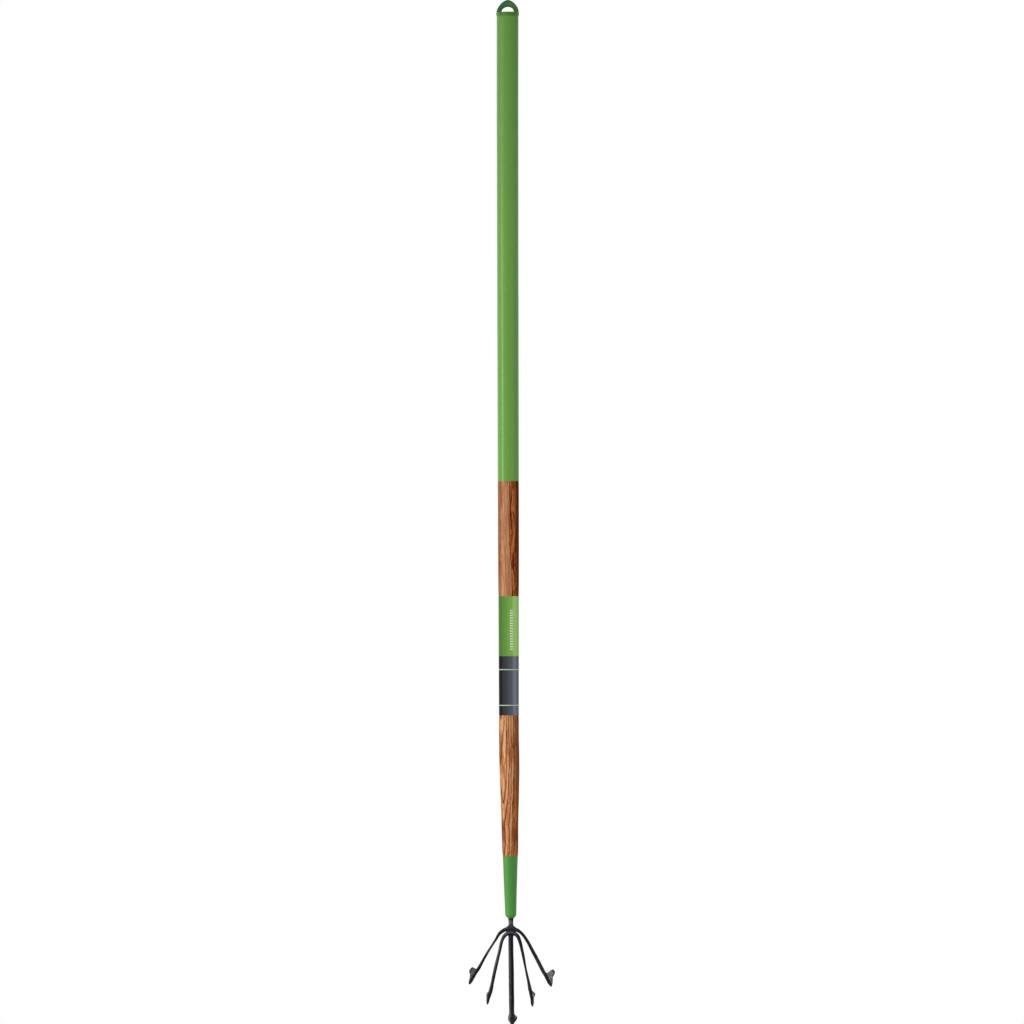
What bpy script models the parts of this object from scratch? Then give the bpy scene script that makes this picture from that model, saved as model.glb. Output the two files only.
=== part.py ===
"""A long-handled garden cultivator: a turned hardwood handle with a sleeved grip and a hanging
eye, a tapered steel ferrule, and a forged head of five hooked tines made from three bars.

The origin is the top of the hanging eye's opening, where a hook bears. The handle runs straight
down along -Z and the tines hook towards -Y.
"""

import math
from dataclasses import dataclass

import bmesh
import bpy
import numpy as np

# Fits
FIT_GAP = 0.0003
ROUND_SIDES = 48

# Hanging eye and end cap
EYE_HALF_WIDTH = 0.0097
EYE_HEIGHT = 0.0081
LOOP_BAND_SIDE = 0.0071
LOOP_BAND_TOP = 0.0100
LOOP_THICKNESS = 0.0100
LOOP_CHAMFER = 0.0026
LOOP_STATIONS = 25
CAP_RIM_DIAMETER = 0.0332
CAP_RIM_HEIGHT = 0.0058
CAP_RIM_ROUND = 0.0014
CAP_FLOOR = 0.0030
CAP_SKIRT_LENGTH = 0.0220
CAP_SKIRT_WALL = 0.0013

# Handle
HANDLE_DIAMETER = 0.0301
WAIST_DIAMETER = 0.0284
FERRULE_MOUTH_WOOD_DIAMETER = 0.0224
UPPER_WOOD_LENGTH = 0.1685
LOWER_WOOD_LENGTH = 0.2059
TAPER_START = 0.050
TAPER_END = 0.158
RUN_OUT_DROP = 0.0012

# Grip sleeve and label sleeve
GRIP_LENGTH = 0.6812
GRIP_WALL = 0.00045
GRIP_PROUD_FOOT = 0.00015
GRIP_PROUD_TOP = 0.00055
LABEL_LENGTH = 0.1743
LABEL_WALL = 0.0003
LABEL_PROUD = 0.0001

# Ferrule and its cross pin
FERRULE_LENGTH = 0.0915
FERRULE_MOUTH_DIAMETER = 0.0218
FERRULE_END_DIAMETER = 0.0156
FERRULE_END_ROUND = 0.0056
FERRULE_LIP = 0.0004
FERRULE_WALL = 0.0012
FERRULE_FLOOR = 0.0030
PIN_DIAMETER = 0.0032
PIN_BELOW_MOUTH = 0.0300

# Tang and neck of the middle bar
TANG_LENGTH = 0.1150
TANG_DIAMETER = 0.0080
TANG_TIP_DIAMETER = 0.0030
TANG_TAPER = 0.0400
NECK_DIAMETER = 0.0064
NECK_LENGTH = 0.0150

# Bars of the head
CROWN_RADIUS = 0.0029
MIDDLE_BAR_WIDTH = 0.0076
MIDDLE_BAR_DEPTH = 0.0064
BLADE_ZONE = 0.0340
BLADE_ROOT = 0.0045
BLADE_AT_BACK = 0.0185
BLADE_PLATE = 0.0022
BLADE_THICK_AT = 0.0080
RIB_ENDS_AT = 0.0060
RIB_SIDE_SHARE = 0.55
RIB_WIDTH_SHARE = 1.1
RIB_EAR_SHARE = 0.5
RIB_EDGE_MARGIN = 0.0008
EDGE_STEEPNESS = 2.5
ROLL_STARTS_AT = 0.0520
ROLL_ENDS_AT = 0.0234
BAR_SIDES = 20
BAR_STEP = 0.0052
BLADE_STEP = 0.0012

# Weld beads
WELD_RADIUS = 0.0022
WELD_HALF_LENGTH = 0.0062
FRONT_WELD_RADIUS = 0.0011
FRONT_WELD_HALF_LENGTH = 0.0026
FRONT_WELD_STAND_OFF = 0.0007


@dataclass(frozen=True)
class Tine:
    """One tine, from the crown of its bar to its point.

    front holds the front view's points in metres from the crown, as (x, z). The tine leans back
    by lean degrees, then bends forward to hook degrees between the two distances of bend, which
    are measured in the front view from the point. Its bar is width across and depth from front
    to back. At a roll of 0 it shows its width to the front, and a roll turns its front inwards.
    edge_out and edge_in outline the blade as pairs of millimetres: how far back from the point,
    and how far out from the tine's middle on that side.
    """

    front: tuple
    lean: float
    hook: float
    bend: tuple
    bar_roll: float
    blade_roll: float
    width: float
    depth: float
    edge_out: tuple
    edge_in: tuple


MIDDLE_TINE = Tine(
    front=(
        (-0.0001, -0.0400), (0.0005, -0.0900), (0.0012, -0.1405),
    ),
    lean=-4.0,
    hook=60.0,
    bend=(0.0470, 0.0160),
    bar_roll=0.0,
    blade_roll=18.0,
    width=MIDDLE_BAR_WIDTH,
    depth=MIDDLE_BAR_DEPTH,
    edge_out=(
        (0, 0.9), (1.5, 1.9), (5, 2.7), (10, 3.7), (12, 4.1), (15, 5.5), (19, 6.9),
        (22, 7.5), (24, 7.3), (26, 6.8), (28, 6), (31, 4.6), (34, 3.8),
    ),
    edge_in=(
        (0, 0.9), (1.5, 1.7), (5, 2.4), (10, 3.1), (15, 4.5), (19, 5.8), (23, 6.9),
        (25, 7.1), (30, 6.8), (32, 6.6), (33, 6.2), (34.5, 4.9), (36, 3.8),
    ),
)
OUTER_LEFT = Tine(
    front=(
        (-0.0088, -0.0016), (-0.0154, -0.0059), (-0.0227, -0.0168), (-0.0322, -0.0315),
        (-0.0493, -0.0608), (-0.0614, -0.0797),
    ),
    lean=-6.0,
    hook=41.0,
    bend=(0.0560, 0.0240),
    bar_roll=5.0,
    blade_roll=40.0,
    width=0.0038,
    depth=0.0064,
    edge_out=(
        (0, 1), (0.8, 2.1), (3, 2.9), (6, 3.5), (9, 4), (11.5, 4.4), (13.4, 5.3),
        (15.4, 7.2), (16.2, 10.6), (17.4, 11.5), (19.4, 11.7), (22.4, 11.3), (25.4, 10.6),
        (27.4, 10), (28.9, 7.8), (30.2, 4.8), (31.4, 2.7), (33.4, 1.9),
    ),
    edge_in=(
        (0, 0.9), (1, 1.6), (3, 2.5), (6, 3.5), (9, 4.5), (12, 5.3), (15.4, 5.8),
        (19.4, 5.8), (23.4, 5.4), (26.4, 4.6), (29.4, 3.2), (32.4, 1.9),
    ),
)
OUTER_RIGHT = Tine(
    front=(
        (0.0088, -0.0021), (0.0146, -0.0060), (0.0231, -0.0169), (0.0310, -0.0317),
        (0.0464, -0.0610), (0.0586, -0.0837),
    ),
    lean=-6.0,
    hook=41.0,
    bend=(0.0580, 0.0260),
    bar_roll=28.0,
    blade_roll=30.0,
    width=0.0044,
    depth=0.0064,
    edge_out=(
        (0, 1.3), (0.8, 2.9), (2, 4), (4, 5.4), (6, 6.5), (8, 7.3), (10.4, 8), (11.9, 8.5),
        (12.7, 11.3), (13.4, 14), (14.4, 15.6), (16.4, 16.8), (18.4, 17), (20.4, 16.5),
        (23.4, 15.2), (24.4, 14), (25, 10.6), (25.6, 4.7), (27.4, 2.2),
    ),
    edge_in=(
        (0, 0.8), (1, 1.2), (4, 1.8), (6, 2.4), (9, 3.4), (12, 4.2), (15.4, 4.6),
        (19.4, 4.7), (23.4, 4.4), (26.4, 3.6), (29.4, 2.2),
    ),
)
INNER_LEFT = Tine(
    front=(
        (-0.0062, -0.0017), (-0.0100, -0.0052), (-0.0129, -0.0110), (-0.0165, -0.0257),
        (-0.0236, -0.0550), (-0.0302, -0.0843), (-0.0336, -0.1037),
    ),
    lean=-5.0,
    hook=50.0,
    bend=(0.0520, 0.0200),
    bar_roll=22.0,
    blade_roll=76.0,
    width=0.0044,
    depth=0.0063,
    edge_out=(
        (0, 1.8), (1, 3.6), (3, 5.4), (6, 6.4), (10, 7), (13, 7.3), (17, 7.5), (20, 6.9),
        (22.8, 4.8), (25.4, 2.8), (28, 2.2),
    ),
    edge_in=(
        (0, 1.8), (1, 3.6), (3, 5.4), (6, 6.4), (10, 7), (13, 7.3), (17, 7.5), (20, 6.9),
        (22.8, 4.8), (25.4, 2.8), (28, 2.2),
    ),
)
INNER_RIGHT = Tine(
    front=(
        (0.0062, -0.0017), (0.0099, -0.0050), (0.0125, -0.0110), (0.0162, -0.0257),
        (0.0219, -0.0550), (0.0279, -0.0843), (0.0309, -0.1069),
    ),
    lean=-5.0,
    hook=43.0,
    bend=(0.0500, 0.0220),
    bar_roll=4.0,
    blade_roll=48.0,
    width=0.0038,
    depth=0.0064,
    edge_out=(
        (0, 1.2), (0.8, 2.5), (2, 3.3), (4, 3.7), (7, 3.8), (10, 3.2), (13, 2.6),
        (15.5, 2.6), (17, 3.6), (18.3, 5.4), (19.3, 6.5), (21, 6.7), (22.5, 6.1), (24, 5.5),
        (26, 4.4), (29, 3.1), (32, 1.9),
    ),
    edge_in=(
        (0, 0.7), (1, 1.2), (4, 1.9), (7, 2.8), (10, 3.7), (13, 4.3), (16, 4.7), (20, 4.8),
        (24, 4.5), (27, 3.6), (30, 1.9),
    ),
)

# Levels down the tool, from the eye to the crown of the outer bar
EYE_FLOOR_Z = -EYE_HEIGHT
CAP_FOOT_Z = EYE_FLOOR_Z - CAP_RIM_HEIGHT
HANDLE_TOP_Z = EYE_FLOOR_Z - CAP_FLOOR - FIT_GAP
GRIP_TOP_Z = CAP_FOOT_Z - FIT_GAP
GRIP_FOOT_Z = GRIP_TOP_Z - GRIP_LENGTH
LABEL_TOP_Z = GRIP_FOOT_Z - UPPER_WOOD_LENGTH
LABEL_FOOT_Z = LABEL_TOP_Z - LABEL_LENGTH
FERRULE_MOUTH_Z = LABEL_FOOT_Z - LOWER_WOOD_LENGTH
FERRULE_END_Z = FERRULE_MOUTH_Z - FERRULE_LENGTH
CROWN_Z = FERRULE_END_Z - NECK_LENGTH
INNER_CROWN_DROP = 2 * CROWN_RADIUS + FIT_GAP
CROWN_Y = -(MIDDLE_BAR_DEPTH / 2 + CROWN_RADIUS + FIT_GAP)
WELD_REACH = MIDDLE_BAR_WIDTH / 2 + 2 * WELD_RADIUS + FIT_GAP


def smoothstep(value):
    """Eases from 0 to 1 as value goes from 0 to 1, and holds there outside that range."""
    held = np.clip(value, 0.0, 1.0)
    return held * held * (3.0 - 2.0 * held)


def clear_scene():
    """Removes every object of the open scene."""
    for obj in list(bpy.data.objects):
        bpy.data.objects.remove(obj, do_unlink=True)


def finish(name, colour, roughness, metallic):
    """Makes a plain Principled material."""
    material = bpy.data.materials.new(name)
    material.use_nodes = True
    shader = material.node_tree.nodes["Principled BSDF"]
    shader.inputs["Base Color"].default_value = (*colour, 1.0)
    shader.inputs["Roughness"].default_value = roughness
    shader.inputs["Metallic"].default_value = metallic
    return material


def object_of(name, mesh, material):
    """Links a mesh to the scene as a smooth-shaded object."""
    obj = bpy.data.objects.new(name, mesh)
    bpy.context.scene.collection.objects.link(obj)
    mesh.materials.append(material)
    mesh.shade_smooth()
    mesh.set_sharp_from_angle(angle=math.radians(35))
    return obj


def turned(name, profile, material):
    """Spins a closed or axis-to-axis profile of (radius, z) points round the Z axis."""
    bm = bmesh.new()
    verts = [bm.verts.new((radius, 0.0, z)) for radius, z in profile]
    edges = [bm.edges.new(pair) for pair in zip(verts, verts[1:])]
    if profile[0][0] > 0.0:
        edges.append(bm.edges.new((verts[-1], verts[0])))
    bmesh.ops.spin(
        bm,
        geom=verts + edges,
        cent=(0.0, 0.0, 0.0),
        axis=(0.0, 0.0, 1.0),
        angle=math.tau,
        steps=ROUND_SIDES,
        use_merge=True,
    )
    bmesh.ops.remove_doubles(bm, verts=bm.verts, dist=1e-6)
    bmesh.ops.recalc_face_normals(bm, faces=bm.faces)
    mesh = bpy.data.meshes.new(name)
    bm.to_mesh(mesh)
    bm.free()
    return object_of(name, mesh, material)


def skinned(name, rings, material):
    """Skins an array of rings, shaped (rings, sides, 3), and caps both ends."""
    count, sides, _ = rings.shape
    index = np.arange(count * sides).reshape(count, sides)
    after = np.roll(index, -1, axis=1)
    walls = np.stack([index[:-1], index[1:], after[1:], after[:-1]], axis=-1).reshape(-1, 4)
    caps = [index[0].tolist(), index[-1, ::-1].tolist()]
    mesh = bpy.data.meshes.new(name)
    mesh.from_pydata(rings.reshape(-1, 3).tolist(), [], walls.tolist() + caps)
    bm = bmesh.new()
    bm.from_mesh(mesh)
    bmesh.ops.recalc_face_normals(bm, faces=bm.faces)
    bm.to_mesh(mesh)
    bm.free()
    return object_of(name, mesh, material)


def helper(obj):
    """Keeps a cutter or a shape to be joined out of the finished assembly."""
    obj.hide_render = True
    obj.display_type = "WIRE"
    return obj


def boolean(obj, other, operation):
    """Adds an exact Boolean with another object."""
    modifier = obj.modifiers.new(operation.title(), "BOOLEAN")
    modifier.operation = operation
    modifier.solver = "EXACT"
    modifier.object = other


def wood_radius(z):
    """Outer radius of the bare handle at a height: full at the grip, easing to the waist at the
    label, then swelling down into the ferrule."""
    fade = smoothstep((GRIP_FOOT_Z - z) / (GRIP_FOOT_Z - (LABEL_TOP_Z + LABEL_FOOT_Z) / 2))
    upper = HANDLE_DIAMETER + (WAIST_DIAMETER - HANDLE_DIAMETER) * fade
    below = LABEL_FOOT_Z - z
    taper = smoothstep((below - TAPER_START) / (TAPER_END - TAPER_START))
    run_out = 2 * smoothstep((below - TAPER_END) / (2 * (LOWER_WOOD_LENGTH - TAPER_END)))
    neck = FERRULE_MOUTH_WOOD_DIAMETER + RUN_OUT_DROP
    lower = neck + (WAIST_DIAMETER - neck) * (1.0 - taper) - RUN_OUT_DROP * run_out
    return np.where(below > 0.0, lower, upper) / 2


def grip_radius(z):
    """Outer radius of the grip sleeve, a little prouder at the top than at its foot."""
    share = (z - GRIP_FOOT_Z) / GRIP_LENGTH
    return HANDLE_DIAMETER / 2 + GRIP_PROUD_FOOT + (GRIP_PROUD_TOP - GRIP_PROUD_FOOT) * share


def label_radius(z):
    """Outer radius of the label sleeve, which follows the wood."""
    return wood_radius(z) + LABEL_PROUD


def ferrule_radius(z):
    """Outer radius of the ferrule's cone."""
    share = (FERRULE_MOUTH_Z - z) / FERRULE_LENGTH
    return (FERRULE_MOUTH_DIAMETER + (FERRULE_END_DIAMETER - FERRULE_MOUTH_DIAMETER) * share) / 2


def tang_radius(z):
    """Radius of the tang: round, drawn down to its upper tip."""
    below_tip = FERRULE_END_Z + TANG_LENGTH - z
    share = np.clip(below_tip / TANG_TAPER, 0.0, 1.0)
    return (TANG_TIP_DIAMETER + (TANG_DIAMETER - TANG_TIP_DIAMETER) * share) / 2


def run(radius, top, foot, count, shrink=0.0):
    """Profile points of a radius function from one height down, or up, to another."""
    return [(float(radius(z)) - shrink, float(z)) for z in np.linspace(top, foot, count)]


def handle_profile():
    """The handle from its top, down the outside, and back up the bore for the tang."""
    cap_seat = grip_radius(GRIP_TOP_Z) - GRIP_WALL - CAP_SKIRT_WALL - 3 * FIT_GAP
    skirt_foot = CAP_FOOT_Z - CAP_SKIRT_LENGTH - FIT_GAP
    film = GRIP_WALL + FIT_GAP
    label_film = LABEL_WALL + FIT_GAP
    wood_end = FERRULE_END_Z + FERRULE_FLOOR + FIT_GAP
    bore_top = FERRULE_END_Z + TANG_LENGTH + FIT_GAP
    seat = FERRULE_WALL + FIT_GAP
    points = [(0.0, HANDLE_TOP_Z), (cap_seat, HANDLE_TOP_Z), (cap_seat, skirt_foot)]
    points += run(grip_radius, skirt_foot, GRIP_FOOT_Z - FIT_GAP, 3, film)
    points += run(wood_radius, GRIP_FOOT_Z - FIT_GAP, LABEL_TOP_Z + FIT_GAP, 4)
    points += run(label_radius, LABEL_TOP_Z + FIT_GAP, LABEL_FOOT_Z - FIT_GAP, 4, label_film)
    points += run(wood_radius, LABEL_FOOT_Z - FIT_GAP, FERRULE_MOUTH_Z + FIT_GAP, 14)
    points += run(ferrule_radius, FERRULE_MOUTH_Z + FIT_GAP, wood_end, 2, seat)
    points += run(tang_radius, wood_end, bore_top - TANG_TAPER, 2, -FIT_GAP)
    points += [(TANG_TIP_DIAMETER / 2 + FIT_GAP, bore_top), (0.0, bore_top)]
    return points


def tube_profile(radius, top, foot, wall, count):
    """A thin sleeve's closed profile."""
    return run(radius, top, foot, count) + run(radius, foot, top, count, wall)


def ferrule_profile():
    """A tapered cup: its mouth up, its rounded end down, with a hole for the tang."""
    hole = float(tang_radius(FERRULE_END_Z)) + FIT_GAP
    turn = np.linspace(0.0, math.pi / 2, 6)[1:]
    start = FERRULE_END_Z + FERRULE_END_ROUND
    side = float(ferrule_radius(start))
    reach = side - hole - FERRULE_LIP
    rounded = [
        (side - reach * (1.0 - math.cos(a)), start - FERRULE_END_ROUND * math.sin(a)) for a in turn
    ]
    floor = FERRULE_END_Z + FERRULE_FLOOR
    inner = run(ferrule_radius, floor, FERRULE_MOUTH_Z, 2, FERRULE_WALL)
    outer = run(ferrule_radius, FERRULE_MOUTH_Z, start, 5)
    return outer + rounded + [(hole, FERRULE_END_Z), (hole, floor)] + inner


def cap_profile():
    """The end cap's turned part: a floor, a rim with a rounded edge, and a skirt."""
    rim = CAP_RIM_DIAMETER / 2
    skirt = float(grip_radius(GRIP_TOP_Z)) - GRIP_WALL - FIT_GAP
    turn = np.linspace(0.0, math.pi / 2, 4)
    edge = [
        (
            rim - CAP_RIM_ROUND * (1.0 - math.sin(a)),
            EYE_FLOOR_Z - CAP_RIM_ROUND * (1.0 - math.cos(a)),
        )
        for a in turn
    ]
    foot = CAP_FOOT_Z - CAP_SKIRT_LENGTH
    inside = skirt - CAP_SKIRT_WALL
    ceiling = EYE_FLOOR_Z - CAP_FLOOR
    return (
        [(0.0, EYE_FLOOR_Z)]
        + edge
        + [(rim, CAP_FOOT_Z), (skirt, CAP_FOOT_Z), (skirt, foot), (inside, foot)]
        + [(inside, ceiling), (0.0, ceiling)]
    )


def loop_rings():
    """The hanging loop as chamfered sections between two half ellipses, sunk into the cap."""
    angle = np.linspace(0.0, math.pi, LOOP_STATIONS)
    inner = np.stack([EYE_HALF_WIDTH * np.cos(angle), EYE_HEIGHT * np.sin(angle)], axis=-1)
    outer = inner + np.stack(
        [LOOP_BAND_SIDE * np.cos(angle), LOOP_BAND_TOP * np.sin(angle)], axis=-1
    )
    sink = CAP_FLOOR / 2
    feet = [(inner[0], outer[0]), (inner[-1], outer[-1])]
    lowered = [(a - (0.0, sink), b - (0.0, sink)) for a, b in feet]
    inner = np.vstack([lowered[0][0], inner, lowered[1][0]])
    outer = np.vstack([lowered[0][1], outer, lowered[1][1]])
    half = LOOP_THICKNESS / 2
    band = np.linalg.norm(outer - inner, axis=1)[:, None]
    cut = LOOP_CHAMFER / band
    across = np.concatenate(
        [cut, 1.0 - cut, np.ones_like(cut), np.ones_like(cut)]
        + [1.0 - cut, cut, np.zeros_like(cut), np.zeros_like(cut)],
        axis=1,
    )
    deep = np.array([-1, -1, -1, 1, 1, 1, 1, -1]) * half
    deep[[2, 7]] += LOOP_CHAMFER
    deep[[3, 6]] -= LOOP_CHAMFER
    place = inner[:, None] + across[..., None] * (outer - inner)[:, None]
    depth = np.broadcast_to(deep, across.shape)
    return np.stack([place[..., 0], depth, place[..., 1] + EYE_FLOOR_Z], axis=-1)


def smooth_curve(points, point_ends):
    """A Catmull-Rom curve through 2D points, paced by the chords.

    It is sampled more finely near its ends that are a tine's point, which point_ends counts.
    """
    points = np.asarray(points, float)
    pace = np.concatenate([[0.0], np.cumsum(np.linalg.norm(np.diff(points, axis=0), axis=1))])
    slope = np.gradient(points, pace, axis=0)
    fine = np.linspace(0.0, pace[-1], 600)
    span = np.clip(np.searchsorted(pace, fine, side="right") - 1, 0, len(pace) - 2)
    width = (pace[span + 1] - pace[span])[:, None]
    t = ((fine - pace[span]) / width[:, 0])[:, None]
    curve = (
        (2 * t**3 - 3 * t**2 + 1) * points[span]
        + (t**3 - 2 * t**2 + t) * width * slope[span]
        + (3 * t**2 - 2 * t**3) * points[span + 1]
        + (t**3 - t**2) * width * slope[span + 1]
    )
    travel = np.concatenate([[0.0], np.cumsum(np.linalg.norm(np.diff(curve, axis=0), axis=1))])
    to_point = travel[-1] - travel
    if point_ends == 2:
        to_point = np.minimum(to_point, travel)
    fine_zone = smoothstep((to_point - BLADE_ZONE) / BLADE_ZONE)
    density = 1.0 / (BLADE_STEP + (BAR_STEP - BLADE_STEP) * fine_zone)
    count = np.concatenate([[0.0], np.cumsum((density[1:] + density[:-1]) / 2 * np.diff(travel))])
    even = np.linspace(0.0, count[-1], round(count[-1]) + 1)
    return np.stack([np.interp(even, count, curve[:, i]) for i in range(2)], axis=-1)


def leaving_crown(to_go):
    """Eases from 0 to 1 where a bar has left its crown and the welds behind it."""
    gone = to_go[0] - to_go
    return smoothstep((gone - WELD_REACH) / WELD_REACH)


def tine_stations(tine, front):
    """Places along one tine in 3D, from its crown to its point, with what each section needs.

    front holds the front view's curve. Returns the places, the outward and forward axes, the
    length still to go to the point, and the roll in degrees.
    """
    steps = np.linalg.norm(np.diff(front, axis=0), axis=1)
    to_go = np.concatenate([np.cumsum(steps[::-1])[::-1], [0.0]])
    start, end = tine.bend
    hooked = smoothstep((start - to_go) / (start - end))
    lean = tine.lean * leaving_crown(to_go)
    angle = np.radians(lean + (tine.hook - lean) * hooked)
    middle = (np.tan(angle[1:]) + np.tan(angle[:-1])) / 2
    depth = -np.concatenate([[0.0], np.cumsum(middle * steps)])
    places = np.stack([front[:, 0], depth, front[:, 1]], axis=-1)
    ahead = np.gradient(places, axis=0)
    ahead /= np.linalg.norm(ahead, axis=1)[:, None]
    flat = np.gradient(front, axis=0)
    flat /= np.linalg.norm(flat, axis=1)[:, None]
    side = 1.0 if front[-1, 0] >= 0.0 else -1.0
    outward = np.stack([-flat[:, 1] * side, np.zeros(len(flat)), flat[:, 0] * side], axis=-1)
    forward = np.cross(ahead, outward) * side
    lengths = np.linalg.norm(np.diff(places, axis=0), axis=1)
    left = np.concatenate([np.cumsum(lengths[::-1])[::-1], [0.0]])
    turned_in = smoothstep((ROLL_STARTS_AT - left) / (ROLL_STARTS_AT - ROLL_ENDS_AT))
    away = smoothstep(2 * (left[0] - left) / (left[0] - BLADE_ZONE))
    bar_roll = tine.bar_roll * away
    roll = bar_roll + (tine.blade_roll - bar_roll) * turned_in
    return places, outward, forward, left, roll


def blade_edge(left, pairs):
    """How far one side of a blade stands out, read between the pairs of its outline."""
    places, reaches = np.asarray(pairs).T / 1000
    return np.interp(left, places, reaches)[:, None]


def tine_sections(tine, left, half_width, half_depth):
    """Section outlines along a tine: how far each point lies across and through.

    Each is shaped (stations, sides). The bar is a rounded rectangle. Towards the point it becomes
    a plate along the bar's back with the bar running out on it as a rib.
    """
    turn = np.linspace(0.0, math.tau, BAR_SIDES, endpoint=False)
    cos, sin = np.cos(turn), np.sin(turn)
    bar_u = np.sign(cos) * np.sqrt(np.abs(cos)) * half_width[:, None]
    bar_v = np.sign(sin) * np.sqrt(np.abs(sin)) * half_depth[:, None]
    length = max(tine.edge_out[-1][0], tine.edge_in[-1][0]) / 1000
    rib = np.clip((left - RIB_ENDS_AT) / (length - RIB_ENDS_AT), 0.0, 1.0)[:, None]
    ear = np.where(cos > 0.0, blade_edge(left, tine.edge_out), blade_edge(left, tine.edge_in))
    inside = np.maximum(RIB_EAR_SHARE * ear, ear - RIB_EDGE_MARGIN)
    core = np.minimum(RIB_WIDTH_SHARE * half_width[:, None], inside)
    near = np.clip(np.abs(cos) / RIB_SIDE_SHARE, 0.0, 1.0)
    far = np.clip((np.abs(cos) - RIB_SIDE_SHARE) / (1.0 - RIB_SIDE_SHARE), 0.0, 1.0)
    blade_u = np.sign(cos) * (core * near + (ear - core) * far)
    plate = BLADE_PLATE * (0.4 + 0.6 * smoothstep(left / BLADE_THICK_AT))[:, None]
    at_back = smoothstep(left / BLADE_AT_BACK)[:, None]
    back = -plate / 2 - (half_depth[:, None] - plate / 2) * at_back
    edge = np.clip(np.abs(sin) * EDGE_STEEPNESS, 0.0, 1.0) * np.sign(sin)
    crest = np.sqrt(np.clip(1.0 - near**2, 0.0, 1.0)) * np.where(sin > 0.0, 1.0, 0.0)
    rise = np.clip(half_depth[:, None] - back - plate, 0.0, None) * crest * rib
    blade_v = back + plate / 2 + plate / 2 * edge + rise
    mix = 1.0 - smoothstep((left - length + BLADE_ROOT) / BLADE_ROOT)[:, None]
    across = bar_u + (blade_u - bar_u) * mix
    through = bar_v + (blade_v - bar_v) * mix
    return across, through


def tine_rings(tine, front, crown_radius):
    """Rings of one tine from its crown to its point.

    The bar is round at the crown, with the radius given, and takes its own section further on. A
    crown_radius of None keeps its own section from the start.
    """
    places, outward, forward, left, roll = tine_stations(tine, front)
    spread = leaving_crown(left)
    if crown_radius is None:
        spread = np.ones_like(left)
        crown_radius = 0.0
    half_width = crown_radius + (tine.width / 2 - crown_radius) * spread
    half_depth = crown_radius + (tine.depth / 2 - crown_radius) * spread
    across, through = tine_sections(tine, left, half_width, half_depth)
    turn = np.radians(roll)[:, None]
    wide = outward * np.cos(turn) + forward * np.sin(turn)
    face = forward * np.cos(turn) - outward * np.sin(turn)
    return places[:, None] + across[..., None] * wide[:, None] + through[..., None] * face[:, None]


def bow_rings(left_tine, right_tine):
    """Rings of a bar bent over the middle one, from its left point over the crown to its right."""
    whole = [*reversed(left_tine.front), (0.0, 0.0), *right_tine.front]
    curve = smooth_curve(whole, 2)
    crown = int(np.argmin(np.abs(curve[:, 0])))
    left = tine_rings(left_tine, curve[crown::-1], CROWN_RADIUS)
    right = tine_rings(right_tine, curve[crown:], CROWN_RADIUS)
    return np.concatenate([left[:0:-1], right])


def middle_rings():
    """Rings of the middle bar: tang, neck, tine and blade in one piece."""
    front = smooth_curve([(0.0, 0.0), *MIDDLE_TINE.front], 1)
    lower = tine_rings(MIDDLE_TINE, front, None)
    turn = np.linspace(0.0, math.tau, BAR_SIDES, endpoint=False)
    tang_top = FERRULE_END_Z + TANG_LENGTH
    neck_z = (FERRULE_END_Z + CROWN_Z) / 2
    heights = [tang_top, tang_top - TANG_TAPER, FERRULE_END_Z - FIT_GAP, neck_z]
    radii = [TANG_TIP_DIAMETER / 2, TANG_DIAMETER / 2, TANG_DIAMETER / 2, NECK_DIAMETER / 2]
    circle = np.stack([np.cos(turn), -np.sin(turn), np.zeros_like(turn)], axis=-1)
    upper = [
        circle * radius + np.array([0.0, 0.0, height - CROWN_Z])
        for height, radius in zip(heights, radii)
    ]
    return np.concatenate([np.stack(upper), lower])


def moved(rings, y, z):
    """Rings carried to their place on the head."""
    return rings + np.array([0.0, y, z])


def make_handle(material, pin_hole):
    """The turned handle, bored for the tang and drilled for the pin."""
    handle = turned("handle", handle_profile(), material)
    boolean(handle, pin_hole, "DIFFERENCE")


def make_grip(material):
    """The sleeve over the upper handle."""
    turned("grip_sleeve", tube_profile(grip_radius, GRIP_TOP_Z, GRIP_FOOT_Z, GRIP_WALL, 3), material)


def make_label(material):
    """The film round the waist of the handle."""
    profile = tube_profile(label_radius, LABEL_TOP_Z, LABEL_FOOT_Z, LABEL_WALL, 4)
    turned("label_sleeve", profile, material)


def make_cap(material):
    """The end cap with its hanging loop."""
    cap = turned("end_cap", cap_profile(), material)
    loop = helper(skinned("loop_shape", loop_rings(), material))
    boolean(cap, loop, "UNION")


def make_ferrule(material, pin_hole):
    """The ferrule, drilled for the pin."""
    ferrule = turned("ferrule", ferrule_profile(), material)
    boolean(ferrule, pin_hole, "DIFFERENCE")


def cross_pin(name, radius, half_length, material):
    """A pin or its hole along X through the ferrule, the wood and the tang."""
    bm = bmesh.new()
    bmesh.ops.create_cone(
        bm,
        cap_ends=True,
        segments=16,
        radius1=radius,
        radius2=radius,
        depth=2 * half_length,
    )
    turn = np.array([[0.0, 0.0, 1.0], [0.0, 1.0, 0.0], [-1.0, 0.0, 0.0]])
    height = FERRULE_MOUTH_Z - PIN_BELOW_MOUTH
    for vert in bm.verts:
        vert.co = turn @ np.array(vert.co) + np.array([0.0, 0.0, height])
    mesh = bpy.data.meshes.new(name)
    bm.to_mesh(mesh)
    bm.free()
    return object_of(name, mesh, material)


def weld_bead(name, half_sizes, place, material):
    """An ellipsoid bead of weld."""
    bm = bmesh.new()
    bmesh.ops.create_icosphere(bm, subdivisions=2, radius=1.0)
    bmesh.ops.scale(bm, vec=half_sizes, verts=bm.verts)
    bmesh.ops.translate(bm, vec=place, verts=bm.verts)
    mesh = bpy.data.meshes.new(name)
    bm.to_mesh(mesh)
    bm.free()
    return object_of(name, mesh, material)


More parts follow.
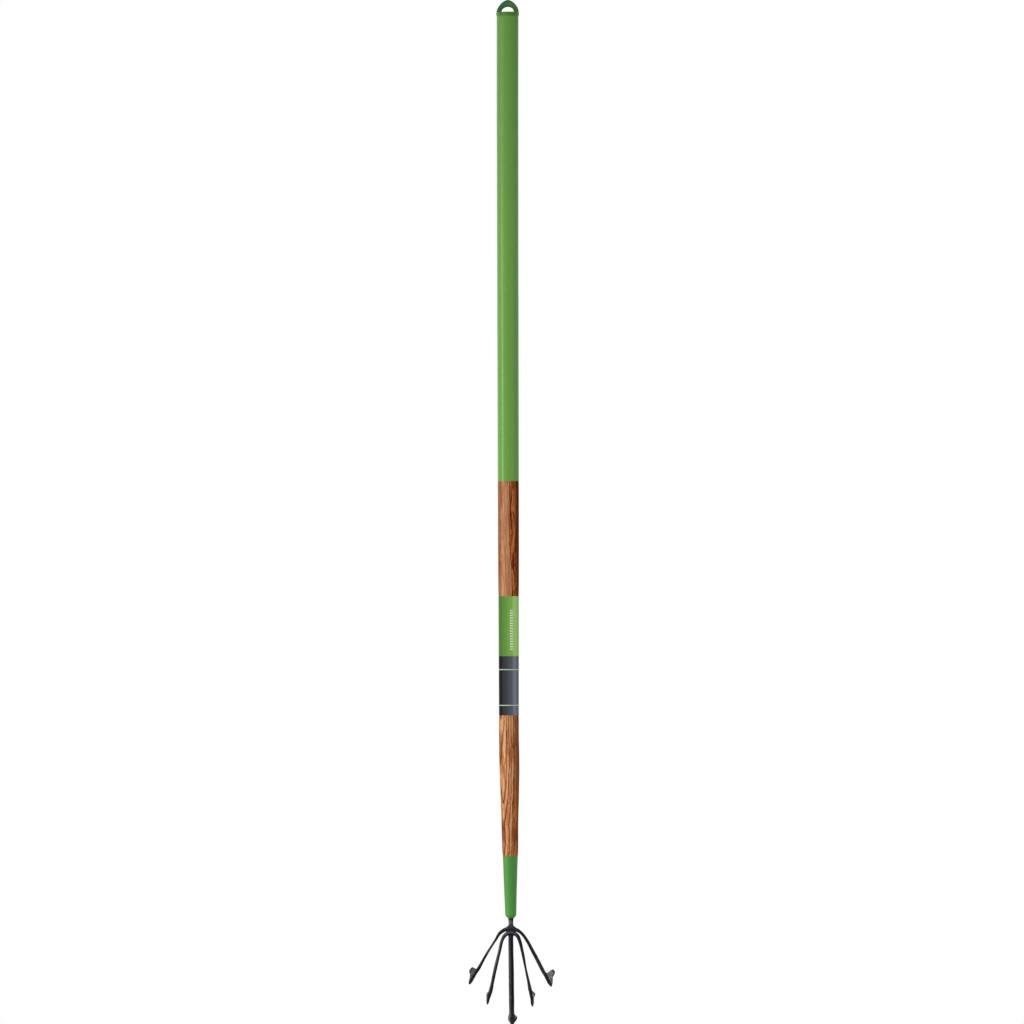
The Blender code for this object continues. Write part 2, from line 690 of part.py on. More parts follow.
def make_welds(material):
    """Two beads behind the crowns beside the middle bar, and one between the crowns in front."""
    beside = MIDDLE_BAR_WIDTH / 2 + WELD_RADIUS + FIT_GAP
    behind = CROWN_Y + CROWN_RADIUS + WELD_RADIUS + FIT_GAP
    middle_z = CROWN_Z - INNER_CROWN_DROP / 2
    size = (WELD_RADIUS, WELD_RADIUS, WELD_HALF_LENGTH)
    weld_bead("weld_left", size, (-beside, behind, middle_z), material)
    weld_bead("weld_right", size, (beside, behind, middle_z), material)
    reach = CROWN_RADIUS + FRONT_WELD_RADIUS + FIT_GAP
    ahead = CROWN_Y - math.sqrt(reach**2 - (INNER_CROWN_DROP / 2) ** 2) - FRONT_WELD_STAND_OFF
    size = (FRONT_WELD_HALF_LENGTH, FRONT_WELD_RADIUS, FRONT_WELD_RADIUS)
    weld_bead("weld_front", size, (0.0, ahead, middle_z), material)


def make_head(steel, pin_hole):
    """The middle bar with its tang, and the two bows bent round in front of it."""
    middle = skinned("middle_tine", moved(middle_rings(), 0.0, CROWN_Z), steel)
    boolean(middle, pin_hole, "DIFFERENCE")
    skinned("outer_tines", moved(bow_rings(OUTER_LEFT, OUTER_RIGHT), CROWN_Y, CROWN_Z), steel)
    inner_z = CROWN_Z - INNER_CROWN_DROP
    skinned("inner_tines", moved(bow_rings(INNER_LEFT, INNER_RIGHT), CROWN_Y, inner_z), steel)


def main():
    """Builds every piece of the cultivator."""
    clear_scene()
    wood = finish("hardwood", (0.42, 0.19, 0.075), 0.45, 0.0)
    grip = finish("green_grip", (0.105, 0.27, 0.05), 0.42, 0.0)
    film = finish("label_film", (0.05, 0.06, 0.07), 0.35, 0.0)
    paint = finish("green_paint", (0.085, 0.27, 0.055), 0.4, 0.0)
    steel = finish("dark_steel", (0.012, 0.013, 0.016), 0.45, 0.6)
    hole_radius = PIN_DIAMETER / 2 + FIT_GAP
    pin_reach = float(ferrule_radius(FERRULE_MOUTH_Z - PIN_BELOW_MOUTH))
    pin_hole = helper(cross_pin("pin_hole_cutter", hole_radius, 2 * pin_reach, steel))
    make_handle(wood, pin_hole)
    make_grip(grip)
    make_cap(grip)
    make_label(film)
    make_ferrule(paint, pin_hole)
    cross_pin("ferrule_pin", PIN_DIAMETER / 2, pin_reach, paint)
    make_head(steel, pin_hole)
    make_welds(steel)


main()
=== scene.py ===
"""Dresses a long-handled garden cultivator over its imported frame.

From top to bottom it has a moulded cap with a hanging loop, a plastic sleeve over the upper handle,
bare turned hardwood, a printed film, more hardwood, an enamelled ferrule, and a forged head of three
welded bars that end in five hooked blades. Lengths are metres unless a table says millimetres, +Z is
up the handle, and the blades hook towards -Y.
"""

import logging
import math
from dataclasses import dataclass, field
from enum import Enum
from typing import Any

import bpy
import numpy as np
from mathutils import Matrix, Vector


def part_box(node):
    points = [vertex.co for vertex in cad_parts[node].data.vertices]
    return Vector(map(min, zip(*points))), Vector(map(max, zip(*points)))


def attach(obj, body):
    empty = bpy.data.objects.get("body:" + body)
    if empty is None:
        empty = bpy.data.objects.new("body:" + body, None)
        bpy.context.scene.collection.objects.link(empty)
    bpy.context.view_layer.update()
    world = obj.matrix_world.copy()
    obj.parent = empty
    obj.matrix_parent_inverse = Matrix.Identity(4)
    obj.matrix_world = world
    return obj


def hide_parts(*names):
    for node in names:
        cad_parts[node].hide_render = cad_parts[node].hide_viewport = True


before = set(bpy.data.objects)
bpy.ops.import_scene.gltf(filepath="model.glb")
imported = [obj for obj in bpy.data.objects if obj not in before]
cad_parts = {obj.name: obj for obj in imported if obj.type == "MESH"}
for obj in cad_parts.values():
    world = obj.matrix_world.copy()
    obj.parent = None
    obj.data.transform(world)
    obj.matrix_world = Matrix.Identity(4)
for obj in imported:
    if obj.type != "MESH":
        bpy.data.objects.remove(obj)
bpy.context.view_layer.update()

# A pair is a start and an end, or a width and a height. Knots are a table of places and values.
Array = np.ndarray
Colour = tuple[float, float, float, float]
Pair = tuple[float, float]
Knots = tuple[Pair, ...]
Spot = tuple[float, float, float]
Material = bpy.types.Material
Socket = bpy.types.NodeSocket

LOG = logging.getLogger("cultivator")
BODY = "root"
TINY = 1e-9
SAME_PLACE = 1e-6
CORNER_POINTS = 6
CORNER_SHARE = 0.49


class Side(Enum):
    """Which side of the handle's axis a piece lies on, seen from the front."""

    LEFT = -1.0
    RIGHT = 1.0


class Form(Enum):
    """How a grid of points is joined into a surface."""

    TUBE = "columns close round, ends are capped"
    RING = "columns and rows both close round"
    SHEET = "nothing closes"


def eased(value: Array, start: float, end: float) -> Array:
    """Eases from 0 at start to 1 at end: three times the share's square less twice its cube.

    Args:
        value: Any array.
        start: Where the ease begins.
        end: Where it is done, above start or below it.

    Returns:
        An array of the same shape, from 0 to 1.
    """
    share = np.clip((value - start) / (end - start), 0.0, 1.0)
    return share * share * (3.0 - 2.0 * share)


def bell(value: Array, middle: float, width: float, power: float = 2.0) -> Array:
    """A bump of height 1: e to minus a power of the distance from the middle over the width."""
    return np.exp(-(np.abs((value - middle) / width) ** power))


def signed_power(value: Array, power: float) -> Array:
    """Raises a value's size to a power and keeps its sign."""
    return np.sign(value) * np.abs(value) ** power


def unit(ways: Array) -> Array:
    """Scales ways to length one along the last axis."""
    return ways / np.maximum(np.linalg.norm(ways, axis=-1, keepdims=True), TINY)


def strides(points: Array) -> Array:
    """The distances between following points of a path, or of the paths that columns make."""
    return np.linalg.norm(np.diff(points, axis=0), axis=-1)


def pace(points: Array) -> Array:
    """How far along the path each of its points lies."""
    return np.concatenate([[0.0], np.cumsum(strides(points))])


def read_at(places: Array, knots: Array, values: Array) -> Array:
    """Reads each column of values at the places, in straight lines between knots."""
    return np.stack([np.interp(places, knots, column) for column in values.T], axis=-1)


def softly_read(places: Array, table: Knots, spread: float, count: int) -> Array:
    """Reads a table in straight lines, averaged over small shifts so that its corners soften.

    Args:
        places: Where to read, in metres.
        table: Places and values, in millimetres.
        spread: The largest shift.
        count: How many shifts.

    Returns:
        The values in metres.
    """
    knots, values = np.asarray(table).T / 1000
    shifts = np.linspace(-spread, spread, count)
    return np.mean([np.interp(places + shift, knots, values) for shift in shifts], axis=0)


def smoothed(values: Array, reach: int, **edge: str) -> Array:
    """Averages each value with its neighbours, up to reach away, under a raised cosine."""
    kernel = np.hanning(2 * reach + 1)
    return np.convolve(np.pad(values, reach, **edge), kernel / kernel.sum(), mode="valid")


def full_turn(sides: int) -> Array:
    """Evenly spaced angles round one turn."""
    return np.linspace(0.0, math.tau, sides, endpoint=False)


def polar(points: Array) -> tuple[Array, Array]:
    """Each point's angle round the Z axis and its distance from it."""
    return np.arctan2(points[..., 1], points[..., 0]), np.linalg.norm(points[..., :2], axis=-1)


def tone(red: float, green: float, blue: float) -> Colour:
    """Turns a display colour, 0 to 255 a channel, into the linear colour that a shader takes.

    Args:
        red: Red as a screen shows it.
        green: Green as a screen shows it.
        blue: Blue as a screen shows it.

    Returns:
        The linear colour with an alpha of 1.
    """
    parts = np.array([red, green, blue]) / 255.0
    curved = np.where(parts <= 0.04045, parts / 12.92, ((parts + 0.055) / 1.055) ** 2.4)
    return (*(float(part) for part in curved), 1.0)


@dataclass(frozen=True)
class Ripple:
    """Smooth unevenness, the same on every run: a sum of sine waves in seeded directions."""

    seed: int
    shortest: float
    longest: float
    terms: int = 14

    def at(self, points: Array) -> Array:
        """Height of the unevenness at points, from about -1 to 1.

        Each wave is the sine of the distance along its own direction over its own length, and long
        waves count for more.

        Args:
            points: Positions, shaped (..., dimensions).

        Returns:
            The heights, shaped as points without the last axis.
        """
        rng = np.random.default_rng(self.seed)
        heading = unit(rng.normal(size=(self.terms, points.shape[-1])))
        length = np.geomspace(self.shortest, self.longest, self.terms)
        phase = rng.uniform(0.0, math.tau, self.terms)
        weight = np.sqrt(length) / np.sqrt(length).sum()
        return 2.0 * np.sin(points @ (heading / length[:, None]).T * math.tau + phase) @ weight


@dataclass
class Surface:
    """A grid of points, rows along a piece by columns round it, ready to become a mesh."""

    points: Array
    form: Form = Form.TUBE
    sharp_from: float = 40.0
    marks: dict[str, Array] = field(default_factory=dict)

    def corners(self) -> tuple[Array, Array]:
        """Point numbers and pattern coordinates at the four corners of each face.

        Returns:
            Numbers shaped (faces, 4), and coordinates shaped (faces, 4, 2) that run once round the
            piece and in metres along it.
        """
        rows, columns, _ = self.points.shape
        number = np.arange(rows * columns).reshape(rows, columns)
        run = strides(self.points).mean(axis=1)
        along = np.concatenate([[0.0], np.cumsum(run)])
        if self.form is not Form.SHEET:
            number = np.concatenate([number, number[:, :1]], axis=1)
        if self.form is Form.RING:
            number = np.concatenate([number, number[:1]], axis=0)
            along = np.append(along, along[-1] + run[-1])
        round_it = np.linspace(0.0, 1.0, number.shape[1])
        place = np.stack(np.broadcast_arrays(round_it[None, :], along[:, None]), axis=-1)
        steps = ((0, 0), (1, 0), (1, 1), (0, 1))
        high, wide = number.shape[0] - 1, number.shape[1] - 1
        faces = np.stack([number[r : r + high, c : c + wide] for r, c in steps], axis=-1)
        coords = np.stack([place[r : r + high, c : c + wide] for r, c in steps], axis=-2)
        return faces.reshape(-1, 4), coords.reshape(-1, 4, 2)

    def caps(self) -> tuple[Array, Array]:
        """The two end centres, each the mean of its end row, and the triangles that fan to them.

        Returns:
            Centres shaped (2, 3), and point numbers shaped (triangles, 3).
        """
        rows, columns, _ = self.points.shape
        count, last = rows * columns, (rows - 1) * columns
        number = np.arange(columns)
        after = np.roll(number, -1)
        top = np.stack([np.full(columns, count), number, after], axis=-1)
        foot = np.stack([np.full(columns, count + 1), last + after, last + number], axis=-1)
        return self.points[[0, -1]].mean(axis=1), np.concatenate([top, foot])

    def build(self, name: str) -> bpy.types.Object:
        """Makes the piece's mesh object at the origin, with its faces turned outward.

        Args:
            name: The piece's name.

        Returns:
            The new object.
        """
        faces, coords = self.corners()
        spots, ends = self.points.reshape(-1, 3), np.empty((0, 3), int)
        if self.form is Form.TUBE:
            centres, ends = self.caps()
            spots = np.concatenate([spots, centres])
        halves = np.concatenate([faces[:, [0, 1, 2]], faces[:, [0, 2, 3]], ends])
        a, b, c = (spots[halves[:, i]] for i in range(3))
        if np.einsum("ij,ij->i", a, np.cross(b, c)).sum() < 0.0:
            faces, coords, ends = faces[:, ::-1], coords[:, ::-1], ends[:, ::-1]
        mesh = bpy.data.meshes.new(name)
        mesh.vertices.add(len(spots))
        mesh.vertices.foreach_set("co", spots.astype(np.float32).ravel())
        loops = np.concatenate([faces.ravel(), ends.ravel()]).astype(np.int32)
        mesh.loops.add(len(loops))
        mesh.loops.foreach_set("vertex_index", loops)
        sizes = np.repeat([4, 3], [len(faces), len(ends)])
        mesh.polygons.add(len(sizes))
        mesh.polygons.foreach_set("loop_start", (np.cumsum(sizes) - sizes).astype(np.int32))
        flat = np.concatenate([coords.ravel(), np.zeros(2 * ends.size)])
        mesh.uv_layers.new(name="along").data.foreach_set("uv", flat.astype(np.float32))
        for mark, values in self.marks.items():
            spread = np.asarray(values, np.float32).ravel()
            rest = np.full(len(spots) - len(spread), spread.mean(), np.float32)
            kept = mesh.attributes.new(mark, "FLOAT", "POINT")
            kept.data.foreach_set("value", np.concatenate([spread, rest]))
        mesh.update(calc_edges=True)
        mesh.validate()
        mesh.shade_smooth()
        mesh.set_sharp_from_angle(angle=math.radians(self.sharp_from))
        piece = bpy.data.objects.new(name, mesh)
        bpy.context.scene.collection.objects.link(piece)
        return piece


def fitted(surface: Surface, name: str, material: Material, slot: str, *nodes: str) -> None:
    """Builds a surface, gives it its finish and fixes it to the tool.

    Args:
        surface: The piece's surface.
        name: The piece's name.
        material: Its finish.
        slot: The record's material slot that the finish belongs to; not used.
        nodes: Frame nodes that the piece stands for.
    """
    piece = surface.build(name)
    piece.data.materials.append(material)
    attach(piece, BODY)
    if nodes:
        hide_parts(*nodes)
    LOG.info("%s: %d faces, finish %s", name, len(piece.data.polygons), material.name)


def filleted(corners: list[Spot], closed: bool) -> Array:
    """Rounds the corners of an outline.

    Each corner becomes a quadratic curve that leaves one side and meets the next at the corner's
    own distance, or just short of the side's middle.

    Args:
        corners: Radius, height and rounding distance of each corner.
        closed: Whether the last corner joins the first.

    Returns:
        The outline, shaped (points, 2).
    """
    knots = np.asarray(corners, float)
    spots, reach = knots[:, :2], knots[:, 2:]
    before, after = (np.roll(spots, by, axis=0) - spots for by in (1, -1))
    if not closed:
        before[0] = after[-1] = 0.0
    near, far = (np.linalg.norm(way, axis=1, keepdims=True) for way in (before, after))
    start = spots + unit(before) * np.minimum(reach, CORNER_SHARE * near)
    end = spots + unit(after) * np.minimum(reach, CORNER_SHARE * far)
    t = np.linspace(0.0, 1.0, CORNER_POINTS)[None, :, None]
    curve = (1 - t) ** 2 * start[:, None] + 2 * t * (1 - t) * spots[:, None] + t**2 * end[:, None]
    joined = curve.reshape(-1, 2)
    moved_on = strides(joined) > SAME_PLACE
    return joined[np.concatenate([[True], moved_on])]


def refined(outline: Array, step: float) -> Array:
    """Adds evenly spaced points to an outline so that no stretch of it is longer than step.

    Args:
        outline: Points shaped (points, 2).
        step: The longest stretch wanted.

    Returns:
        The outline with every old point and the new ones.
    """
    parts = np.maximum(np.ceil(strides(outline) / step).astype(int), 1)
    share = np.concatenate([np.arange(n) / n for n in parts])
    start = np.repeat(np.arange(len(parts)), parts)
    inner = outline[start] + share[:, None] * (outline[start + 1] - outline[start])
    return np.vstack([inner, outline[-1]])


def turned(outline: Array, sides: int) -> Array:
    """Carries an outline round the Z axis.

    A point's x is its radius times the turn's cosine, its y is the radius times the sine, and its
    z stays.

    Args:
        outline: Radius and height of each row, shaped (rows, 2).
        sides: Columns round the axis.

    Returns:
        Points shaped (rows, sides, 3).
    """
    turn, radius = full_turn(sides), outline[:, :1]
    height = np.broadcast_to(outline[:, 1:], (len(outline), sides))
    return np.stack([radius * np.cos(turn), radius * np.sin(turn), height], axis=-1)


def lathed(corners: list[Spot], step: float, sides: int, closed: bool = False) -> Array:
    """Rounds an outline's corners, refines it and carries it round the Z axis."""
    return turned(refined(filleted(corners, closed), step), sides)


def swollen(points: Array, amount: Array) -> Array:
    """Moves points away from the Z axis by an amount, along their own radius."""
    share = 1.0 + (amount / np.maximum(polar(points)[1], TINY))[..., None]
    return np.concatenate([points[..., :2] * share, points[..., 2:]], axis=-1)


class Hand:
    """Places and joins shader nodes in one tree, left to right."""

    def __init__(self, tree: bpy.types.NodeTree) -> None:
        """Works in a tree, which may already hold nodes."""
        self.tree = tree
        self.placed = 0

    def add(self, kind: str, wires: dict[Any, Any] | None = None, **settings: Any) -> Any:
        """Adds a node.

        Args:
            kind: The node's type.
            wires: Sockets to join or values to set, by the input's name or number.
            settings: Properties of the node.

        Returns:
            The node.
        """
        node = self.tree.nodes.new(kind)
        node.location = (200 * (self.placed % 12), -240 * (self.placed // 12))
        self.placed += 1
        for key, value in settings.items():
            setattr(node, key, value)
        for key, value in (wires or {}).items():
            self.wire(node, key, value)
        return node

    def wire(self, node: Any, key: Any, value: Any) -> None:
        """Joins a socket to an input, or sets the input's value.

        Args:
            node: The node that has the input.
            key: The input's name or number.
            value: A socket to join, or a value to set.
        """
        if isinstance(value, Socket):
            self.tree.links.new(value, node.inputs[key])
        else:
            node.inputs[key].default_value = value

    def sum(self, operation: str, *values: Any) -> Socket:
        """A Math node's result."""
        return self.add("ShaderNodeMath", dict(enumerate(values)), operation=operation).outputs[0]

    def scaled(self, value: Any, by: Any, plus: Any = 0.0) -> Socket:
        """A value times a second, plus a third."""
        return self.sum("MULTIPLY_ADD", value, by, plus)

    def vector(self, operation: str, first: Any, second: Any) -> Socket:
        """A Vector Math node's result."""
        wires = {0: first, 1: second}
        return self.add("ShaderNodeVectorMath", wires, operation=operation).outputs[0]

    def between(self, value: Any, low: float, high: float, most: float = 1.0) -> Socket:
        """Eases from 0 at low to most at high."""
        wires = {"Value": value, "From Min": low, "From Max": high, "To Max": most}
        return self.add("ShaderNodeMapRange", wires, interpolation_type="SMOOTHSTEP").outputs[0]

    def ranged(self, value: Any, low: float, high: float) -> Socket:
        """Takes 0 to 1 linearly to low to high."""
        return self.add("ShaderNodeMapRange", {"Value": value, "To Min": low, "To Max": high}).outputs[0]

    def blend(self, share: Any, first: Any, second: Any) -> Socket:
        """Mixes two colours.

        Args:
            share: How much of the second colour shows.
            first: A colour or its socket.
            second: A colour or its socket.

        Returns:
            The mixed colour.
        """
        node = self.add("ShaderNodeMix", data_type="RGBA")
        for key, value in ((0, share), (6, first), (7, second)):
            self.wire(node, key, value)
        return node.outputs[2]

    def layered(self, colour: Any, *layers: tuple[Any, Any]) -> Socket:
        """Lays colours over the first one, each by its own share.

        Args:
            colour: The lowest colour.
            layers: Each layer's share and colour.

        Returns:
            The colour with every layer on it.
        """
        for share, over in layers:
            colour = self.blend(share, colour, over)
        return colour

    def noise(self, place: Socket, scale: Any, detail: float = 3.0, rough: float = 0.55) -> Socket:
        """A Noise texture's value, stretched where its scale has three parts.

        Args:
            place: Where it is read.
            scale: How fine it is, as one number or one for each axis.
            detail: How many finer layers it has.
            rough: How strongly the finer layers show.

        Returns:
            The value, from 0 to 1.
        """
        if isinstance(scale, tuple):
            place, scale = self.vector("MULTIPLY", place, scale), 1.0
        wires = {"Vector": place, "Scale": scale, "Detail": detail, "Roughness": rough}
        return self.add("ShaderNodeTexNoise", wires).outputs[0]

    def bump(self, height: Socket, distance: float, strength: float) -> Socket:
        """A normal from a height."""
        wires = {"Height": height, "Distance": distance, "Strength": strength}
        return self.add("ShaderNodeBump", wires).outputs[0]


class Group(Hand):
    """A shared effect being made: a node group that reads a place and a few numbers."""

    def __init__(self, name: str, output: str, **numbers: float) -> None:
        """Starts the group and its sockets.

        Args:
            name: The group's name.
            output: The name of what it puts out.
            numbers: Its number inputs, with underscores for spaces.
        """
        super().__init__(bpy.data.node_groups.new(name, "ShaderNodeTree"))
        face = self.tree.interface
        face.new_socket("Vector", in_out="INPUT", socket_type="NodeSocketVector")
        for key, value in numbers.items():
            made = face.new_socket(key.replace("_", " "), in_out="INPUT", socket_type="NodeSocketFloat")
            made.default_value = value
        face.new_socket(output, in_out="OUTPUT", socket_type="NodeSocketFloat")
        self.given = list(self.add("NodeGroupInput").outputs)[: 1 + len(numbers)]
        self.output = output

    def closed(self, value: Socket) -> bpy.types.NodeTree:
        """Puts the value out and gives the group back."""
        self.add("NodeGroupOutput", {self.output: value})
        return self.tree


class Effects:
    """Shader effects that more than one finish uses, each built once as a group."""

    def __init__(self) -> None:
        """Builds the groups."""
        self.mottle = self._mottle()
        self.scuffs = self._scuffs()
        self.worn_edges = self._worn_edges()
        self.peel = self._peel()

    @staticmethod
    def _mottle() -> bpy.types.NodeTree:
        """Soft cloudy variation in two sizes, from 0 to 1.

        Returns:
            The group.
        """
        hand = Group("soft mottle", "Mask", Size=60.0, Contrast=1.0)
        place, size, contrast = hand.given
        fine = hand.noise(place, hand.scaled(size, 4.3), 4.0, 0.6)
        mixed = hand.scaled(fine, 0.35, hand.scaled(hand.noise(place, size), 0.65))
        spread = hand.scaled(hand.sum("SUBTRACT", mixed, 0.5), contrast, 0.5)
        return hand.closed(hand.add("ShaderNodeClamp", {0: spread}).outputs[0])

    @staticmethod
    def _scuffs() -> bpy.types.NodeTree:
        """Sparse thin scuff marks that run mostly along the tool, from 0 to 1.

        Returns:
            The group.
        """
        hand = Group("rub marks", "Mask", Amount=0.5)
        place, amount = hand.given
        thin = hand.between(hand.noise(place, (900.0, 900.0, 30.0), 2.0, 0.5), 0.63, 0.70)
        patch = hand.between(hand.noise(place, (60.0, 60.0, 18.0), 2.0, 0.5), 0.50, 0.66)
        return hand.closed(hand.scaled(hand.scaled(thin, patch), amount))

    @staticmethod
    def _worn_edges() -> bpy.types.NodeTree:
        """Where edges stand out and a finish has rubbed through, broken up, from 0 to 1.

        Returns:
            The group.
        """
        hand = Group("worn edges", "Mask", From=0.52, Break_Up=260.0)
        place, start, break_up = hand.given
        point = hand.add("ShaderNodeNewGeometry").outputs["Pointiness"]
        edge = hand.scaled(hand.sum("SUBTRACT", point, start), 16.0)
        held = hand.add("ShaderNodeClamp", {0: edge}).outputs[0]
        chip = hand.noise(place, break_up, 4.0, 0.65)
        return hand.closed(hand.scaled(held, hand.between(chip, 0.42, 0.62)))

    @staticmethod
    def _peel() -> bpy.types.NodeTree:
        """The faint dimpling of sprayed or moulded surfaces, as a height.

        Returns:
            The group.
        """
        hand = Group("orange peel", "Height", Size=900.0)
        place, size = hand.given
        return hand.closed(hand.noise(place, size, 2.0, 0.45))


class Finish(Hand):
    """A material being made: its shader and what every finish reads."""

    def __init__(self, name: str) -> None:
        """Starts a material with one Principled shader.

        Args:
            name: The finish's name.
        """
        self.material = bpy.data.materials.new(name)
        self.material.use_nodes = True
        super().__init__(self.material.node_tree)
        self.shader = self.tree.nodes["Principled BSDF"]
        self.place = self.add("ShaderNodeTexCoord").outputs["Object"]
        self.x, self.y, self.z = self.add("ShaderNodeSeparateXYZ", {0: self.place}).outputs

    def effect(self, group: bpy.types.NodeTree, **values: float) -> Socket:
        """Places a shared effect with its own values, named with underscores for spaces.

        Args:
            group: The effect's group.
            values: The values of its inputs.

        Returns:
            The effect's output.
        """
        node = self.add("ShaderNodeGroup", {"Vector": self.place}, node_tree=group)
        for key, value in values.items():
            self.wire(node, key.replace("_", " "), value)
        return node.outputs[0]

    def mark(self, name: str) -> Socket:
        """A value that the mesh carries at its points."""
        return self.add("ShaderNodeAttribute", attribute_name=name).outputs["Fac"]

    def done(self, **sockets: Any) -> Material:
        """Sets the shader's inputs, named with underscores for spaces, and gives the material back.

        Args:
            sockets: Values or sockets for the inputs.

        Returns:
            The finished material.
        """
        for key, value in sockets.items():
            self.wire(self.shader, key.replace("_", " "), value)
        return self.material


@dataclass(frozen=True)
class Timber:
    """The five colours of one stretch of the handle and how strongly it is figured."""

    plain: Colour
    light: Colour
    streak: Colour
    heart: Colour
    heart_light: Colour
    figure: float


@dataclass(frozen=True)
class OiledHardwood:
    """Tan sapwood on one side of the handle, red-brown heartwood on the other that is partly painted shade,
    painted shade along both edges, and long grain.
    """

    upper: Timber = Timber(
        plain=tone(176, 116, 84),
        light=tone(200, 146, 102),
        streak=tone(104, 42, 14),
        heart=tone(138, 60, 22),
        heart_light=tone(208, 128, 66),
        figure=0.35,
    )
    lower: Timber = Timber(
        plain=tone(190, 116, 66),
        light=tone(224, 170, 122),
        streak=tone(106, 40, 14),
        heart=tone(150, 62, 12),
        heart_light=tone(216, 126, 48),
        figure=0.9,
    )
    # The darkest brown, for pores, streaks and the painted shade at the right edge.
    deep: Colour = tone(76, 20, 0)
    lower_from: Pair = (-0.90, -1.06)
    boundary: Pair = (0.0006, 0.0044)
    dark_left: Pair = (-0.0095, -0.0150)
    dark_right: Pair = (0.0040, 0.0125)
    pith: Pair = (0.034, 0.024)
    ring_count: float = 300.0
    flame: float = 4.5

    def build(self) -> Material:
        """Cuts growth rings round a pith beside the handle, sets the heart on the right, and paints shade
        along its left and right edges.

        Returns:
            The finished material.
        """
        hand = Finish("oiled hardwood")
        below = hand.between(hand.z, *self.lower_from)
        crooked = self._crooked(hand)
        bold = hand.noise(crooked, (300.0, 300.0, 15.0), 4.0, 0.62)
        fibre = hand.noise(crooked, (560.0, 560.0, 21.0), 4.0, 0.66)
        pores = hand.noise(hand.place, (2400.0, 2400.0, 70.0), 2.0, 0.5)
        colour = hand.layered(
            self._sapwood(hand, below, bold, fibre),
            self._heart(hand, below, bold, fibre),
            (hand.between(pores, 0.60, 0.68, 0.4), self.deep),
        )
        height = hand.scaled(pores, -0.5, hand.scaled(fibre, 0.5))
        return hand.done(
            Base_Color=colour,
            Roughness=hand.ranged(fibre, 0.42, 0.58),
            Normal=hand.bump(height, 0.00014, 0.5),
            Specular_IOR_Level=0.02,
        )

    def _crooked(self, hand: Finish) -> Socket:
        """The place on the handle, pushed sideways by slow noise so that streaks run crooked.

        Args:
            hand: The material being made.

        Returns:
            The shifted place.
        """
        pushed = hand.noise(hand.place, (60.0, 60.0, 34.0), 3.0, 0.5).node.outputs["Color"]
        centred = hand.vector("SUBTRACT", pushed, (0.5, 0.5, 0.5))
        return hand.vector("ADD", hand.place, hand.vector("MULTIPLY", centred, (0.0085, 0.0085, 0.0)))

    def _rings(self, hand: Finish) -> Socket:
        """Late wood, 0 to 1: distance from the pith, bent by slow noise so that rings close in flames.

        Args:
            hand: The material being made.

        Returns:
            The share of late wood.
        """
        bent = hand.noise(hand.place, (30.0, 30.0, 7.0), 3.0, 0.5)
        slow = hand.noise(hand.place, (9.0, 9.0, 2.6), 1.0, 0.4)
        beside, behind = (hand.sum("ADD", *pair) for pair in zip((hand.x, hand.y), self.pith))
        reach = hand.sum("SQRT", hand.scaled(beside, beside, hand.scaled(behind, behind)))
        drift = hand.scaled(bent, self.flame, hand.scaled(slow, 7.0))
        ring = hand.sum("FRACT", hand.scaled(reach, self.ring_count, drift))
        return hand.scaled(hand.between(ring, 0.45, 0.88), hand.between(ring, 1.0, 0.93))

    def _graded(self, hand: Finish, below: Socket, *names: str) -> list[Socket]:
        """Some of the timber's colours, each from its upper to its lower tone."""
        return [hand.blend(below, getattr(self.upper, n), getattr(self.lower, n)) for n in names]

    def _sapwood(self, hand: Finish, below: Socket, bold: Socket, fibre: Socket) -> Socket:
        """Pale wood with soft light bands, rings and crooked dark streaks.

        Args:
            hand: The material being made.
            below: The share of the lower stretch.
            bold: Broad lengthwise streaks.
            fibre: Fine lengthwise streaks.

        Returns:
            The colour.
        """
        plain, light, streak = self._graded(hand, below, "plain", "light", "streak")
        figure = hand.ranged(below, self.upper.figure, self.lower.figure)
        return hand.layered(
            plain,
            (hand.between(bold, 0.39, 0.55), light),
            (hand.scaled(self._rings(hand), figure), streak),
            (hand.scaled(hand.between(fibre, 0.54, 0.64, 0.85), figure), streak),
            # Painted shade along the left edge, in the streak colour.
            (
                hand.scaled(hand.between(hand.x, *self.dark_left), hand.ranged(below, 0.6, 0.2)),
                self.upper.streak,
            ),
        )

    def _heart(self, hand: Finish, below: Socket, bold: Socket, fibre: Socket) -> tuple[Socket, Socket]:
        """Where the heartwood lies, and its colour, which is partly painted shade on the handle's right
        side.

        Its edge wanders along the handle and is lined with a dark streak, and painted shade deepens it
        towards the right edge.

        Args:
            hand: The material being made.
            below: The share of the lower stretch.
            bold: Broad lengthwise streaks.
            fibre: Fine lengthwise streaks.

        Returns:
            The share of heartwood and its colour.
        """
        wander = hand.noise(hand.place, (50.0, 50.0, 11.0))
        past = hand.sum("SUBTRACT", hand.x, hand.ranged(below, *self.boundary))
        swayed = hand.scaled(hand.sum("SUBTRACT", wander, 0.5), 0.012, past)
        frayed = hand.scaled(hand.sum("SUBTRACT", fibre, 0.5), 0.006, swayed)
        # The heart covers the right side: partly heartwood, partly painted shade.
        share = hand.scaled(hand.between(frayed, -0.0010, 0.0006), hand.ranged(below, 1.0, 0.8))
        begun, ended = hand.between(frayed, -0.0010, 0.0001, 0.75), hand.between(frayed, 0.0024, 0.0008)
        # Painted shade towards the right edge, joined with the dark streak along the heart's edge.
        deep = hand.sum("MAXIMUM", hand.between(hand.x, *self.dark_right, 0.9), hand.scaled(begun, ended))
        mixed = hand.scaled(bold, 0.45, hand.scaled(fibre, 0.55))
        dark, light = self._graded(hand, below, "heart", "heart_light")
        return share, hand.layered(
            dark,
            (hand.between(mixed, 0.45, 0.55), light),
            (hand.between(mixed, 0.47, 0.40, 0.7), self.deep),
            (deep, self.deep),
        )


